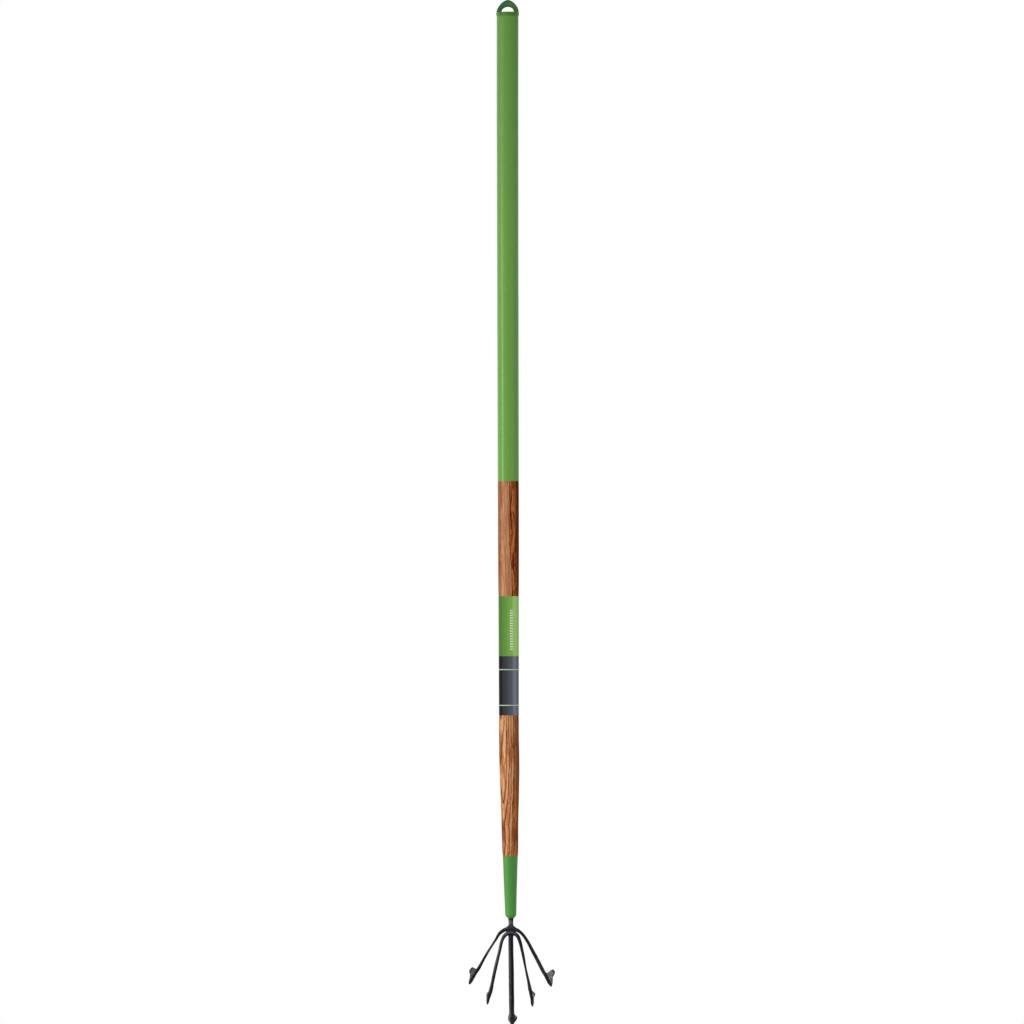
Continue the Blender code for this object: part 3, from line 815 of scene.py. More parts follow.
@dataclass(frozen=True)
class SleevePlastic:
    """Green plastic drawn over the handle, satin above and smoother towards its foot, with painted light
    that pales it towards its foot and painted shade on its right side.
    """

    top: Colour = tone(99, 152, 61)
    foot: Colour = tone(107, 160, 64)
    handled: Colour = tone(92, 146, 66)
    shaded: Colour = tone(70, 116, 8)
    scuff: Colour = tone(150, 182, 122)
    lit_towards_foot: Pair = (0.03, -0.42)
    smooths: Pair = (-0.10, -0.62)
    roughness: Pair = (0.30, 0.15)
    shade: Pair = (0.0085, 0.0160)

    def build(self, effects: Effects) -> Material:
        """Grades the colour paler down the sleeve as painted light, paints shade on its right side, and
        adds draw lines, scuff marks and faint clouding.

        Args:
            effects: The shared effect groups.

        Returns:
            The finished material.
        """
        hand = Finish("sleeve plastic")
        cloud = hand.effect(effects.mottle, Size=34.0, Contrast=1.5)
        scuffed = hand.effect(effects.scuffs, Amount=0.6)
        colour = hand.layered(
            self.top,
            # Painted light: the colour pales towards the foot.
            (hand.between(hand.z, *self.lit_towards_foot), self.foot),
            (hand.ranged(cloud, 0.0, 0.35), self.handled),
            # Painted shade on the right side.
            (hand.between(hand.x, *self.shade, 0.7), self.shaded),
            (scuffed, self.scuff),
        )
        drawn = hand.noise(hand.place, (420.0, 420.0, 2.0), 2.0, 0.5)
        height = hand.scaled(drawn, 0.8, hand.scaled(hand.effect(effects.peel, Size=520.0), 0.4))
        rough = hand.ranged(hand.between(hand.z, *self.smooths), *self.roughness)
        return hand.done(
            Base_Color=colour,
            Roughness=hand.scaled(scuffed, 0.25, hand.scaled(cloud, 0.06, rough)),
            Normal=hand.bump(height, 0.00010, 0.5),
            Specular_IOR_Level=0.21,
        )


@dataclass(frozen=True)
class CapPlastic:
    """Harder moulded green plastic with a fine spark texture and worn edges."""

    body: Colour = tone(90, 140, 50)
    shade: Colour = tone(66, 112, 46)
    rubbed_and_lit: Colour = tone(132, 172, 104)
    rim: Colour = tone(44, 76, 40)
    shaded_cool: Colour = tone(60, 112, 78)

    def build(self, effects: Effects) -> Material:
        """Mottles the body, paints shade on the loop's rims and in the rim's pockets, paints a cool shade
        on one side of the loop and in the pockets, and pales worn edges.

        Args:
            effects: The shared effect groups.

        Returns:
            The finished material.
        """
        hand = Finish("cap plastic")
        cloud = hand.effect(effects.mottle, Size=150.0, Contrast=1.6)
        worn = hand.effect(effects.worn_edges, From=0.53, Break_Up=700.0)
        colour = hand.layered(
            self.body,
            (hand.ranged(cloud, 0.0, 0.6), self.shade),
            # Painted cool shade on one side of the loop and in the rim's pockets.
            (hand.between(hand.mark("cast"), 0.55, 1.1), self.shaded_cool),
            # Painted shade on the loop's rims and in the rim's pockets.
            (hand.scaled(hand.mark("shade"), 0.85), self.rim),
            (hand.scaled(worn, 0.5), self.rubbed_and_lit),
        )
        return hand.done(
            Base_Color=colour,
            Roughness=hand.ranged(cloud, 0.34, 0.48),
            Normal=hand.bump(hand.effect(effects.peel, Size=2400.0), 0.00008, 0.5),
            Specular_IOR_Level=0.1,
        )


@dataclass(frozen=True)
class PrintedFilm:
    """Glossy film in green above and charcoal below, with a scale of dashes and two pale rings.

    Painted light brightens both fields from left to right, a painted reflection makes a paler band right of
    the middle, and painted shade darkens their right edge.
    """

    green_dark: Colour = tone(70, 116, 42)
    green_lit: Colour = tone(140, 194, 90)
    green_reflection: Colour = tone(194, 238, 140)
    charcoal_shaded: Colour = tone(2, 3, 3)
    charcoal_lit: Colour = tone(99, 103, 114)
    charcoal_reflection: Colour = tone(150, 152, 168)
    ink: Colour = tone(216, 240, 200)
    scuff: Colour = tone(170, 180, 165)
    across: Pair = (-0.0142, 0.0088)
    painted_reflection: Pair = (0.0034, 0.0050)
    edge: Pair = (0.0078, 0.0122)
    shade: Pair = (0.0085, 0.0142)
    split: Pair = (-0.95175, -0.95145)
    rings: Pair = (-0.9713, -1.0236)
    ring_half_height: float = 0.0006
    scale: Pair = (-0.8840, -0.9440)
    dash_pitch: float = 0.0038
    dash_share: float = 0.55
    dash_half_width: float = 0.0022
    dash_x: float = 0.0024

    def build(self, effects: Effects) -> Material:
        """Paints light across each field's front, a reflection band right of the middle and shade at its
        right edge, and prints the dashes and rings over it.

        Args:
            effects: The shared effect groups.

        Returns:
            The finished material.
        """
        hand = Finish("printed film")
        # Painted light: each field brightens from left to right.
        across = hand.between(hand.x, *self.across)
        # Painted reflection: a paler band right of the middle.
        painted_reflection = hand.between(hand.x, *self.painted_reflection, 0.5)
        green = hand.layered(self.green_dark, (across, self.green_lit), (painted_reflection, self.green_reflection))
        charcoal = hand.layered(
            self.charcoal_shaded,
            (across, self.charcoal_lit),
            (painted_reflection, self.charcoal_reflection),
            # Painted shade at the charcoal's right edge.
            (hand.between(hand.x, *self.edge, 0.45), self.charcoal_shaded),
        )
        scuffed = hand.effect(effects.scuffs, Amount=0.25)
        colour = hand.layered(
            charcoal,
            (hand.between(hand.z, *self.split), green),
            # Painted shade at the right edge of both fields.
            (hand.between(hand.x, *self.shade, 0.45), self.charcoal_shaded),
            (hand.sum("MAXIMUM", self._dashes(hand), hand.scaled(self._rings(hand), 0.75)), self.ink),
            (scuffed, self.scuff),
        )
        cloud = hand.effect(effects.mottle, Size=90.0, Contrast=1.4)
        wrinkle = hand.noise(hand.place, (70.0, 70.0, 30.0), 2.0, 0.5)
        return hand.done(
            Base_Color=colour,
            Roughness=hand.scaled(scuffed, 0.3, hand.ranged(cloud, 0.34, 0.46)),
            Normal=hand.bump(wrinkle, 0.0003, 0.5),
            Specular_IOR_Level=0.08,
        )

    def _dashes(self, hand: Finish) -> Socket:
        """A column of short dashes on the front of the upper field, from 0 to 1.

        Args:
            hand: The material being made.

        Returns:
            The dashes' share.
        """
        aside = hand.sum("ABSOLUTE", hand.sum("SUBTRACT", hand.x, self.dash_x))
        share = hand.sum("FRACT", hand.sum("DIVIDE", hand.z, self.dash_pitch))
        joined = hand.sum("LESS_THAN", aside, self.dash_half_width)
        for mask in (
            hand.sum("LESS_THAN", share, self.dash_share),
            hand.sum("LESS_THAN", hand.z, self.scale[0]),
            hand.sum("GREATER_THAN", hand.z, self.scale[1]),
            hand.sum("LESS_THAN", hand.y, 0.0),
        ):
            joined = hand.scaled(joined, mask)
        return joined

    def _rings(self, hand: Finish) -> Socket:
        """Two thin rings round the lower field, from 0 to 1."""
        off = [hand.sum("ABSOLUTE", hand.sum("SUBTRACT", hand.z, height)) for height in self.rings]
        return hand.sum("LESS_THAN", hand.sum("MINIMUM", *off), self.ring_half_height)


@dataclass(frozen=True)
class FerruleEnamel:
    """Sprayed green enamel over steel, with peel, a few chips and worn edges."""

    body: Colour = tone(72, 140, 60)
    low: Colour = tone(80, 146, 56)
    lit_warm: Colour = tone(90, 150, 40)
    shaded_cool: Colour = tone(84, 152, 74)
    dull: Colour = tone(72, 132, 66)
    primer: Colour = tone(54, 78, 50)
    steel: Colour = tone(70, 72, 74)
    scuff: Colour = tone(126, 172, 108)
    lows: Pair = (-1.26, -1.33)
    left: Pair = (-0.0020, -0.0085)
    right: Pair = (0.0020, 0.0090)

    def build(self, effects: Effects) -> Material:
        """Grades the enamel down the cone, paints light on its left side and a cool shade on its right, and
        breaks it along its edges.

        Args:
            effects: The shared effect groups.

        Returns:
            The finished material.
        """
        hand = Finish("ferrule enamel")
        cloud = hand.effect(effects.mottle, Size=120.0, Contrast=1.6)
        worn = hand.effect(effects.worn_edges, From=0.512, Break_Up=520.0)
        bare = hand.between(hand.noise(hand.place, 210.0, 5.0, 0.7), 0.685, 0.705)
        colour = hand.layered(
            self.body,
            (hand.between(hand.z, *self.lows), self.low),
            # Painted light on the left side.
            (hand.between(hand.x, *self.left, 0.65), self.lit_warm),
            # Painted cool shade on the right side.
            (hand.between(hand.x, *self.right, 0.65), self.shaded_cool),
            (hand.ranged(cloud, 0.0, 0.3), self.dull),
            (hand.scaled(worn, 0.8), self.primer),
            (bare, self.steel),
            (hand.effect(effects.scuffs, Amount=0.4), self.scuff),
        )
        height = hand.scaled(bare, -1.5, hand.effect(effects.peel, Size=750.0))
        return hand.done(
            Base_Color=colour,
            Roughness=hand.ranged(cloud, 0.42, 0.54),
            Normal=hand.bump(height, 0.00010, 0.6),
            Specular_IOR_Level=0.2,
        )


@dataclass(frozen=True)
class ForgedSteel:
    """Black-coated forged steel: hammer scale, pits, grey metal where soil rubs it, and a painted
    highlight.
    """

    name: str = "forged steel"
    coat: Colour = tone(3, 4, 10)
    scale: Colour = tone(19, 19, 29)
    worn: Colour = tone(120, 120, 123)
    rubbed_and_lit: Colour = tone(95, 96, 100)
    rust: Colour = tone(84, 58, 42)
    wear: float = 1.0

    def build(self, effects: Effects) -> Material:
        """Lays the coat over scale, wears it through where the mesh is marked, paints a highlight where the
        mesh is marked for one, and pits it.

        Args:
            effects: The shared effect groups.

        Returns:
            The finished material.
        """
        hand = Finish(self.name)
        cloud = hand.effect(effects.mottle, Size=170.0, Contrast=2.0)
        rusted = hand.between(hand.noise(hand.place, 140.0, 6.0, 0.7), 0.66, 0.74, 0.35)
        broken = hand.noise(hand.place, 420.0, 5.0, 0.65)
        patchy = hand.ranged(hand.between(broken, 0.35, 0.6), 0.35, 1.0)
        through = hand.between(hand.scaled(hand.mark("wear"), self.wear, broken), 0.86, 1.16)
        edges = hand.effect(effects.worn_edges, From=0.53, Break_Up=380.0)
        bare = hand.sum("MAXIMUM", through, hand.scaled(edges, 0.6))
        colour = hand.layered(
            self.coat,
            (cloud, self.scale),
            (rusted, self.rust),
            # Painted highlight where the mesh is marked for one.
            (hand.scaled(hand.mark("rub_and_highlight"), patchy), self.rubbed_and_lit),
            (bare, self.worn),
        )
        pits = hand.noise(hand.place, 1300.0, 3.0, 0.6)
        dents = hand.noise(hand.place, 260.0, 2.0, 0.5)
        return hand.done(
            Base_Color=colour,
            Roughness=hand.scaled(bare, -0.08, hand.ranged(cloud, 0.20, 0.34)),
            Metallic=hand.scaled(bare, 0.3),
            Normal=hand.bump(hand.scaled(dents, 1.6, hand.scaled(pits, 0.5)), 0.00022, 0.7),
            Specular_IOR_Level=0.09,
        )


@dataclass(frozen=True)
class Bow:
    """The slight natural bend of the handle, which everything wrapped round it follows.

    Its table gives heights and sideways shifts in millimetres.
    """

    bends: Knots = (
        (-1345, 0.0), (-1335, -0.1), (-1300, -0.4), (-1260, -0.5), (-1235, -0.5), (-1200, -1.0),
        (-1170, -0.9), (-1115, -1.3), (-1075, -1.85), (-850, -1.6), (-690, -1.4), (-360, -1.1),
        (-140, -0.6), (0, 0.0),
    )
    span: Pair = (-1.36, 0.02)
    samples: int = 400
    soften: int = 7

    def carried(self, points: Array) -> Array:
        """Shifts points sideways by the bend at their height, read from the table and smoothed.

        Args:
            points: Points shaped (..., 3).

        Returns:
            The shifted points.
        """
        heights, shifts = np.asarray(self.bends).T / 1000
        fine = np.linspace(*self.span, self.samples)
        bend = smoothed(np.interp(fine, heights, shifts), self.soften, mode="edge")
        return points + np.interp(points[..., 2:], fine, bend) * np.array([1.0, 0.0, 0.0])


@dataclass(frozen=True)
class Shaft:
    """The turned hardwood handle. Its table gives heights and widths in millimetres."""

    bow: Bow
    sides: int = 112
    step: float = 0.004
    soften: int = 3
    bare_from: Pair = (-0.70, -0.72)
    sanded: Ripple = Ripple(11, 0.012, 0.060)
    sanded_height: float = 0.00010
    sanded_along: float = 0.35
    widths: Knots = (
        (-1329, 13.0), (-1252, 19.6), (-1244.1, 22.4), (-1234.4, 23.4), (-1208, 24.3),
        (-1181.6, 25.3), (-1172.8, 25.9), (-1155.2, 27.2), (-1137.6, 27.9), (-1120, 29.0),
        (-1093.6, 29.5), (-1067, 29.0), (-1041, 29.2), (-1034, 28.1), (-868, 28.7), (-860, 30.0),
        (-818, 30.6), (-790, 30.7), (-696, 30.8), (-690, 30.2), (-13, 29.6),
    )

    def outline(self) -> Array:
        """Radius and height down the handle, read between measured widths and smoothed.

        Returns:
            The outline, shaped (rows, 2).
        """
        heights, widths = np.asarray(self.widths).T / 1000
        z = np.arange(heights[-1], heights[0], -self.step)
        return np.stack([smoothed(np.interp(z, heights, widths), self.soften, mode="edge") / 2, z], axis=-1)

    def surface(self) -> Surface:
        """Turns the outline and adds the unevenness that hand sanding leaves.

        Returns:
            The handle's surface.
        """
        points = turned(self.outline(), self.sides)
        uneven = self.sanded.at(points * np.array([1.0, 1.0, self.sanded_along]))
        bare = eased(points[..., 2], *self.bare_from)
        return Surface(self.bow.carried(swollen(points, self.sanded_height * uneven * bare)))

    def dress(self, material: Material) -> None:
        """Fits the handle."""
        fitted(self.surface(), "shaft", material, "hardwood", "handle")


@dataclass(frozen=True)
class Wrap:
    """A thin tube round the handle: the sleeve or the printed film."""

    bow: Bow
    name: str
    node: str
    slot: str
    top_radius: float
    foot_radius: float
    thickness: float
    edge: float
    seed: int
    lap: float = 0.0
    lap_turn: Pair = (math.radians(84), math.radians(112))
    lap_ends: Pair = (0.04, 0.3)
    loose: float = 0.00005
    sides: int = 128
    step: float = 0.005

    def surface(self) -> Surface:
        """Closes a rounded tube section between the frame's heights and carries it round.

        The lap adds its thickness over a short turn behind the handle, where one edge of the film
        lies over the other.

        Returns:
            The tube's surface.
        """
        low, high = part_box(self.node)
        corners = [
            (self.top_radius, high.z, self.edge),
            (self.foot_radius, low.z, self.edge),
            (self.foot_radius - self.thickness, low.z, self.edge / 4),
            (self.top_radius - self.thickness, high.z, self.edge / 4),
        ]
        points = lathed(corners, self.step, self.sides, closed=True)
        turn, radius = polar(points)
        start, end = self.lap_turn
        rise, fall = self.lap_ends
        lapped = eased(turn, start, start + rise) * eased(turn, end + fall, end)
        outside = radius > self.foot_radius - self.thickness / 2
        uneven = Ripple(self.seed, 0.02, 0.16).at(points * np.array([1.0, 1.0, 0.3]))
        grown = (self.lap * lapped + self.loose * uneven) * outside
        return Surface(self.bow.carried(swollen(points, grown)), Form.RING, sharp_from=50.0)

    def dress(self, material: Material) -> None:
        """Fits the tube."""
        fitted(self.surface(), self.name, material, self.slot, self.node)


@dataclass(frozen=True)
class HangingCap:
    """The moulded cap: a rim and skirt round the handle's end, and a loop to hang it by.

    The eye and the outer edge are given as half width and height, and the webs from top to foot.
    """

    rim_radius: float = 0.0166
    rim_foot: float = -0.0139
    rim_round: float = 0.0016
    rim_sides: int = 288
    rim_step: float = 0.0005
    floor: float = -0.0081
    skirt_radius: float = 0.0150
    skirt_foot: float = -0.0300
    parting: float = 0.00012
    pocket_x: float = 0.0096
    pocket_z: float = -0.0117
    pocket_half: Pair = (0.0012, 0.0015)
    pocket_depth: float = 0.0007
    eye: Pair = (0.0090, 0.0074)
    outer: Pair = (0.0163, 0.0178)
    pointedness: float = 1.62
    squareness: float = 3.6
    lean: float = 0.0008
    thickness: float = 0.0100
    ridge: float = 0.0007
    feet: float = 0.16
    foot_slope: Pair = (0.005, 0.020)
    cool_shade_from: float = 2.25
    loop_stations: int = 97
    loop_sides: int = 40
    crest_share: float = 0.22
    web_x: Pair = (0.0112, 0.0118)
    web_half: Pair = (0.0013, 0.0021)
    web_rise: Pair = (0.0032, -0.0006)
    web_sunk: float = 0.0014
    web_reach: float = 0.0046
    web_flare: float = 1.6
    web_grid: tuple[int, int] = (13, 15)

    def rim(self) -> Surface:
        """Turns the rim: a flat floor, a rounded shoulder, a drawn-in foot and the skirt.

        Two pockets are sunk into its front and two into its back, each a bell in width and height, and
        marked for painted shade and a painted cool shade.

        Returns:
            The rim's surface.
        """
        rim, foot, floor = self.rim_radius, self.rim_foot, self.floor
        corners = [
            (0.0006, floor, 0.0),
            (rim - 0.0032, floor, 0.0003),
            (rim - 0.0028, floor - 0.0004, 0.0003),
            (rim - 0.0018, floor - 0.0001, 0.0004),
            (rim - 0.0001, floor - 0.0003, self.rim_round),
            (rim, foot + 0.0013, 0.0008),
            (0.01605, foot - 0.0003, 0.0003),
            (self.skirt_radius, foot - 0.0006, 0.0001),
            (self.skirt_radius, self.skirt_foot, 0.0),
        ]
        points = lathed(corners, self.rim_step, self.rim_sides)
        turn, radius = polar(points)
        wide, high = self.pocket_half
        on_rim = eased(radius, rim - 0.0012, rim - 0.0002)
        pocket = bell(np.abs(points[..., 0]), self.pocket_x, wide, 4) * on_rim
        pocket = pocket * bell(points[..., 2], self.pocket_z, high, 4)
        grown = self.parting * bell(np.sin(turn), 0.0, 0.02) * on_rim - self.pocket_depth * pocket
        marks = {"shade": 0.5 * pocket, "cast": 1.2 * pocket}
        return Surface(swollen(points, grown), sharp_from=32.0, marks=marks)

    def loop(self) -> Surface:
        """Carries the loop's section over the eye.

        The eye is a half ellipse. The outer edge is one too, but its parts are raised to a lower
        power than two, which points it. Between them the section is a rounded rectangle with a low
        ridge along its middle, and its feet run down into the rim.

        Returns:
            The loop's surface.
        """
        turn = np.linspace(-self.feet, math.pi + self.feet, self.loop_stations)
        held = np.clip(turn, 0.0, math.pi)
        ellipse = np.stack([np.cos(held), np.sin(held)], axis=-1)
        below = np.abs(turn - held)[:, None]
        sunk = below * self.foot_slope * np.stack([np.cos(held), np.ones_like(held)], axis=-1)
        inner = ellipse * self.eye - sunk
        outer = signed_power(ellipse, 2.0 / self.pointedness) * self.outer - sunk
        middle = (inner + outer) / 2
        middle[:, 0] += self.lean * np.clip(middle[:, 1] / self.outer[1], 0.0, 1.0)
        way = full_turn(self.loop_sides)
        across, deep = signed_power(np.stack([np.cos(way), np.sin(way)]), 2.0 / self.squareness)
        crest = bell(across, 0.0, self.crest_share) * np.sign(deep) * self.ridge
        place = middle[:, None] + across[None, :, None] * (outer - inner)[:, None] / 2
        depth = np.broadcast_to(deep * (self.thickness / 2 - self.ridge) + crest, place.shape[:2])
        points = np.stack([place[..., 0], depth, place[..., 1] + self.floor], axis=-1)
        # Painted shade on the loop's outer and inner rims, and a painted cool shade strongest towards its
        # upper left.
        shade = eased(across, 0.40, 0.80) + 0.60 * eased(across, -0.50, -0.80)
        cast = np.broadcast_to(0.5 + 0.5 * np.cos(turn - self.cool_shade_from)[:, None], depth.shape)
        marks = {"shade": np.broadcast_to(shade, depth.shape), "cast": cast}
        return Surface(points, sharp_from=34.0, marks=marks)

    def gusset(self, side: Side, front: float) -> Surface:
        """A small web that stiffens a foot of the loop.

        It comes out of the loop's face and flares downward: its reach is a power of the way down,
        times a half circle across its width.

        Args:
            side: The foot that it stiffens.
            front: -1 in front of the loop, 1 behind it.

        Returns:
            The web's surface.
        """
        rows, columns = self.web_grid
        across = np.linspace(-1.0, 1.0, columns)[None, :]
        down = np.linspace(0.0, 1.0, rows)[:, None]
        middle, half, rise = (
            top + (foot - top) * down for top, foot in (self.web_x, self.web_half, self.web_rise)
        )
        round_it = np.sqrt(np.clip(1.0 - across**2, 0.0, 1.0))
        x = side.value * middle + half * across
        reach = self.web_reach * down**self.web_flare * round_it
        y = front * (self.thickness / 2 - self.web_sunk + reach)
        z = self.floor + rise
        outer = np.stack(np.broadcast_arrays(x, y, z), axis=-1)
        back = outer * np.array([1.0, 0.0, 1.0]) + np.array([0.0, front * self.thickness / 4, 0.0])
        return Surface(np.concatenate([outer, back[:, ::-1]], axis=1), sharp_from=45.0)

    def dress(self, material: Material) -> None:
        """Fits the rim, the loop and the webs at its feet.

        Args:
            material: The cap's finish.
        """
        fitted(self.rim(), "cap_rim", material, "green_grip", "end_cap")
        fitted(self.loop(), "cap_loop", material, "green_grip", "end_cap")
        for side in Side:
            for front, word in ((-1.0, "front"), (1.0, "back")):
                name = f"cap_web_{side.name.lower()}_{word}"
                fitted(self.gusset(side, front), name, material, "green_grip")


@dataclass(frozen=True)
class Ferrule:
    """The tapered steel socket and the rivet heads of its cross pin."""

    bow: Bow
    mouth_radius: float = 0.01100
    end_radius: float = 0.00795
    shoulder: float = 0.0040
    hole_radius: float = 0.0044
    lip: float = 0.00025
    wall: float = 0.0012
    seam: float = 0.00022
    dents: Ripple = Ripple(23, 0.008, 0.05)
    dent_height: float = 0.00006
    seam_turn: float = 0.07
    sides: int = 128
    step: float = 0.0022
    rivet_radius: float = 0.0019
    rivet_height: float = 0.0002
    rivet_sunk: float = 0.0004
    rivet_rows: int = 12
    rivet_sides: int = 40

    def cone(self) -> Surface:
        """Turns the socket: a rolled mouth, a straight taper, a drawn-in end, and its seam behind.

        Returns:
            The socket's surface.
        """
        low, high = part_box("ferrule")
        top, foot, mouth = high.z, low.z, self.mouth_radius
        narrow = self.end_radius + (mouth - self.end_radius) * self.shoulder / (top - foot)
        corners = [
            (mouth - self.wall, top - 0.010, 0.0),
            (mouth - self.wall, top, 0.0003),
            (mouth + self.lip, top, 0.0004),
            (mouth + self.lip, top - 0.0014, 0.0005),
            (mouth - 0.00005, top - 0.0022, 0.0006),
            (narrow, foot + self.shoulder, 0.0010),
            (self.hole_radius + 0.0003, foot, 0.0005),
            (self.hole_radius - 0.0003, foot + 0.0010, 0.0002),
        ]
        points = lathed(corners, self.step, self.sides)
        z = points[..., 2]
        inside = eased(z, foot + 0.004, foot + 0.008) * eased(z, top - 0.001, top - 0.003)
        ridge = self.seam * bell(polar(points)[0], math.pi / 2, self.seam_turn)
        grown = (ridge + self.dent_height * self.dents.at(points)) * inside
        return Surface(self.bow.carried(swollen(points, grown)), sharp_from=36.0)

    def rivet(self, side: Side) -> Surface:
        """A low domed head: its radius follows a quarter circle, flattened where it was hammered.

        Args:
            side: Which end of the pin it closes.

        Returns:
            The head's surface.
        """
        low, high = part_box("ferrule_pin")
        rise = np.linspace(0.0, 1.0, self.rivet_rows)
        radius = self.rivet_radius * np.sqrt(np.clip(1.0 - rise**3, 0.0, 1.0))
        profile = np.stack([radius, rise * (self.rivet_height + self.rivet_sunk)], axis=-1)
        dome = turned(profile[:-1], self.rivet_sides)
        out = side.value * (high.x - self.rivet_sunk + dome[..., 2])
        placed = np.stack([out, dome[..., 0], (low.z + high.z) / 2 + dome[..., 1]], axis=-1)
        return Surface(self.bow.carried(placed))

    def dress(self, material: Material) -> None:
        """Fits the socket and both rivet heads.

        Args:
            material: The socket's finish.
        """
        fitted(self.cone(), "ferrule_cone", material, "green_paint", "ferrule")
        for side in Side:
            name = f"rivet_{side.name.lower()}"
            fitted(self.rivet(side), name, material, "green_paint", "ferrule_pin")


@dataclass(frozen=True)
class Blade:
    """One tine's flattened end.

    Each side is a table of places and reaches in millimetres: how far back from the point, and how
    far out from the tine's middle.
    """

    outer: Knots
    inner: Knots
    root: float = 0.0045
    plate: float = 0.0023
    edge: float = 0.0006
    rib_ends: float = 0.0055
    rib_fade: float = 0.7

    @property
    def length(self) -> float:
        """How far back from the point the blade's last knot lies."""
        return max(self.outer[-1][0], self.inner[-1][0]) / 1000


@dataclass(frozen=True)
class Tine:
    """One tine from its bar's crown to its point, seen from the front and bent in depth.

    Its route gives places from the crown, and its widths distances from the crown and the bar's
    width there, both in millimetres. Lean, hook and rolls are degrees, and the bend to the hook runs
    between two distances from the point.
    """

    route: Knots
    lean: float
    hook: float
    bend: Pair
    bar_roll: float
    blade_roll: float
    widths: Knots
    seed: int
    # The next two fields weigh the painted highlight on the bar's left flank and on the front of its crown.
    rubbed_and_lit: float
    crown_highlight: float
    blade: Blade
    depth: float = 0.0064


@dataclass(frozen=True)
class Sampling:
    """How finely a bar is sampled."""

    sides: int = 56
    bar_step: float = 0.0016
    blade_step: float = 0.0004
    fine: int = 2400


def curve_through(points: Array, both_ends: bool, sampling: Sampling, blade_length: float) -> Array:
    """A smooth curve through 2D points, sampled more finely near its blades.

    Between two points it is a cubic whose slopes are those of the points on either side.

    Args:
        points: The points, shaped (count, 2).
        both_ends: Whether the first point is a blade's too.
        sampling: The steps along bar and blade.
        blade_length: How much of an end is blade.

    Returns:
        The samples, shaped (count, 2).
    """
    knots = pace(points)
    slope = np.gradient(points, knots, axis=0)
    fine = np.linspace(0.0, knots[-1], sampling.fine)
    span = np.clip(np.searchsorted(knots, fine, side="right") - 1, 0, len(knots) - 2)
    width = (knots[span + 1] - knots[span])[:, None]
    t = (fine - knots[span])[:, None] / width
    curve = (
        (2 * t**3 - 3 * t**2 + 1) * points[span]
        + (t**3 - 2 * t**2 + t) * width * slope[span]
        + (3 * t**2 - 2 * t**3) * points[span + 1]
        + (t**3 - t**2) * width * slope[span + 1]
    )
    travel = pace(curve)
    to_point = travel[-1] - travel
    if both_ends:
        to_point = np.minimum(to_point, travel)
    coarse = eased(to_point, blade_length, 2 * blade_length)
    density = 1.0 / (sampling.blade_step + (sampling.bar_step - sampling.blade_step) * coarse)
    count = np.concatenate([[0.0], np.cumsum((density[1:] + density[:-1]) / 2 * np.diff(travel))])
    return read_at(np.linspace(0.0, count[-1], round(count[-1]) + 1), count, curve)


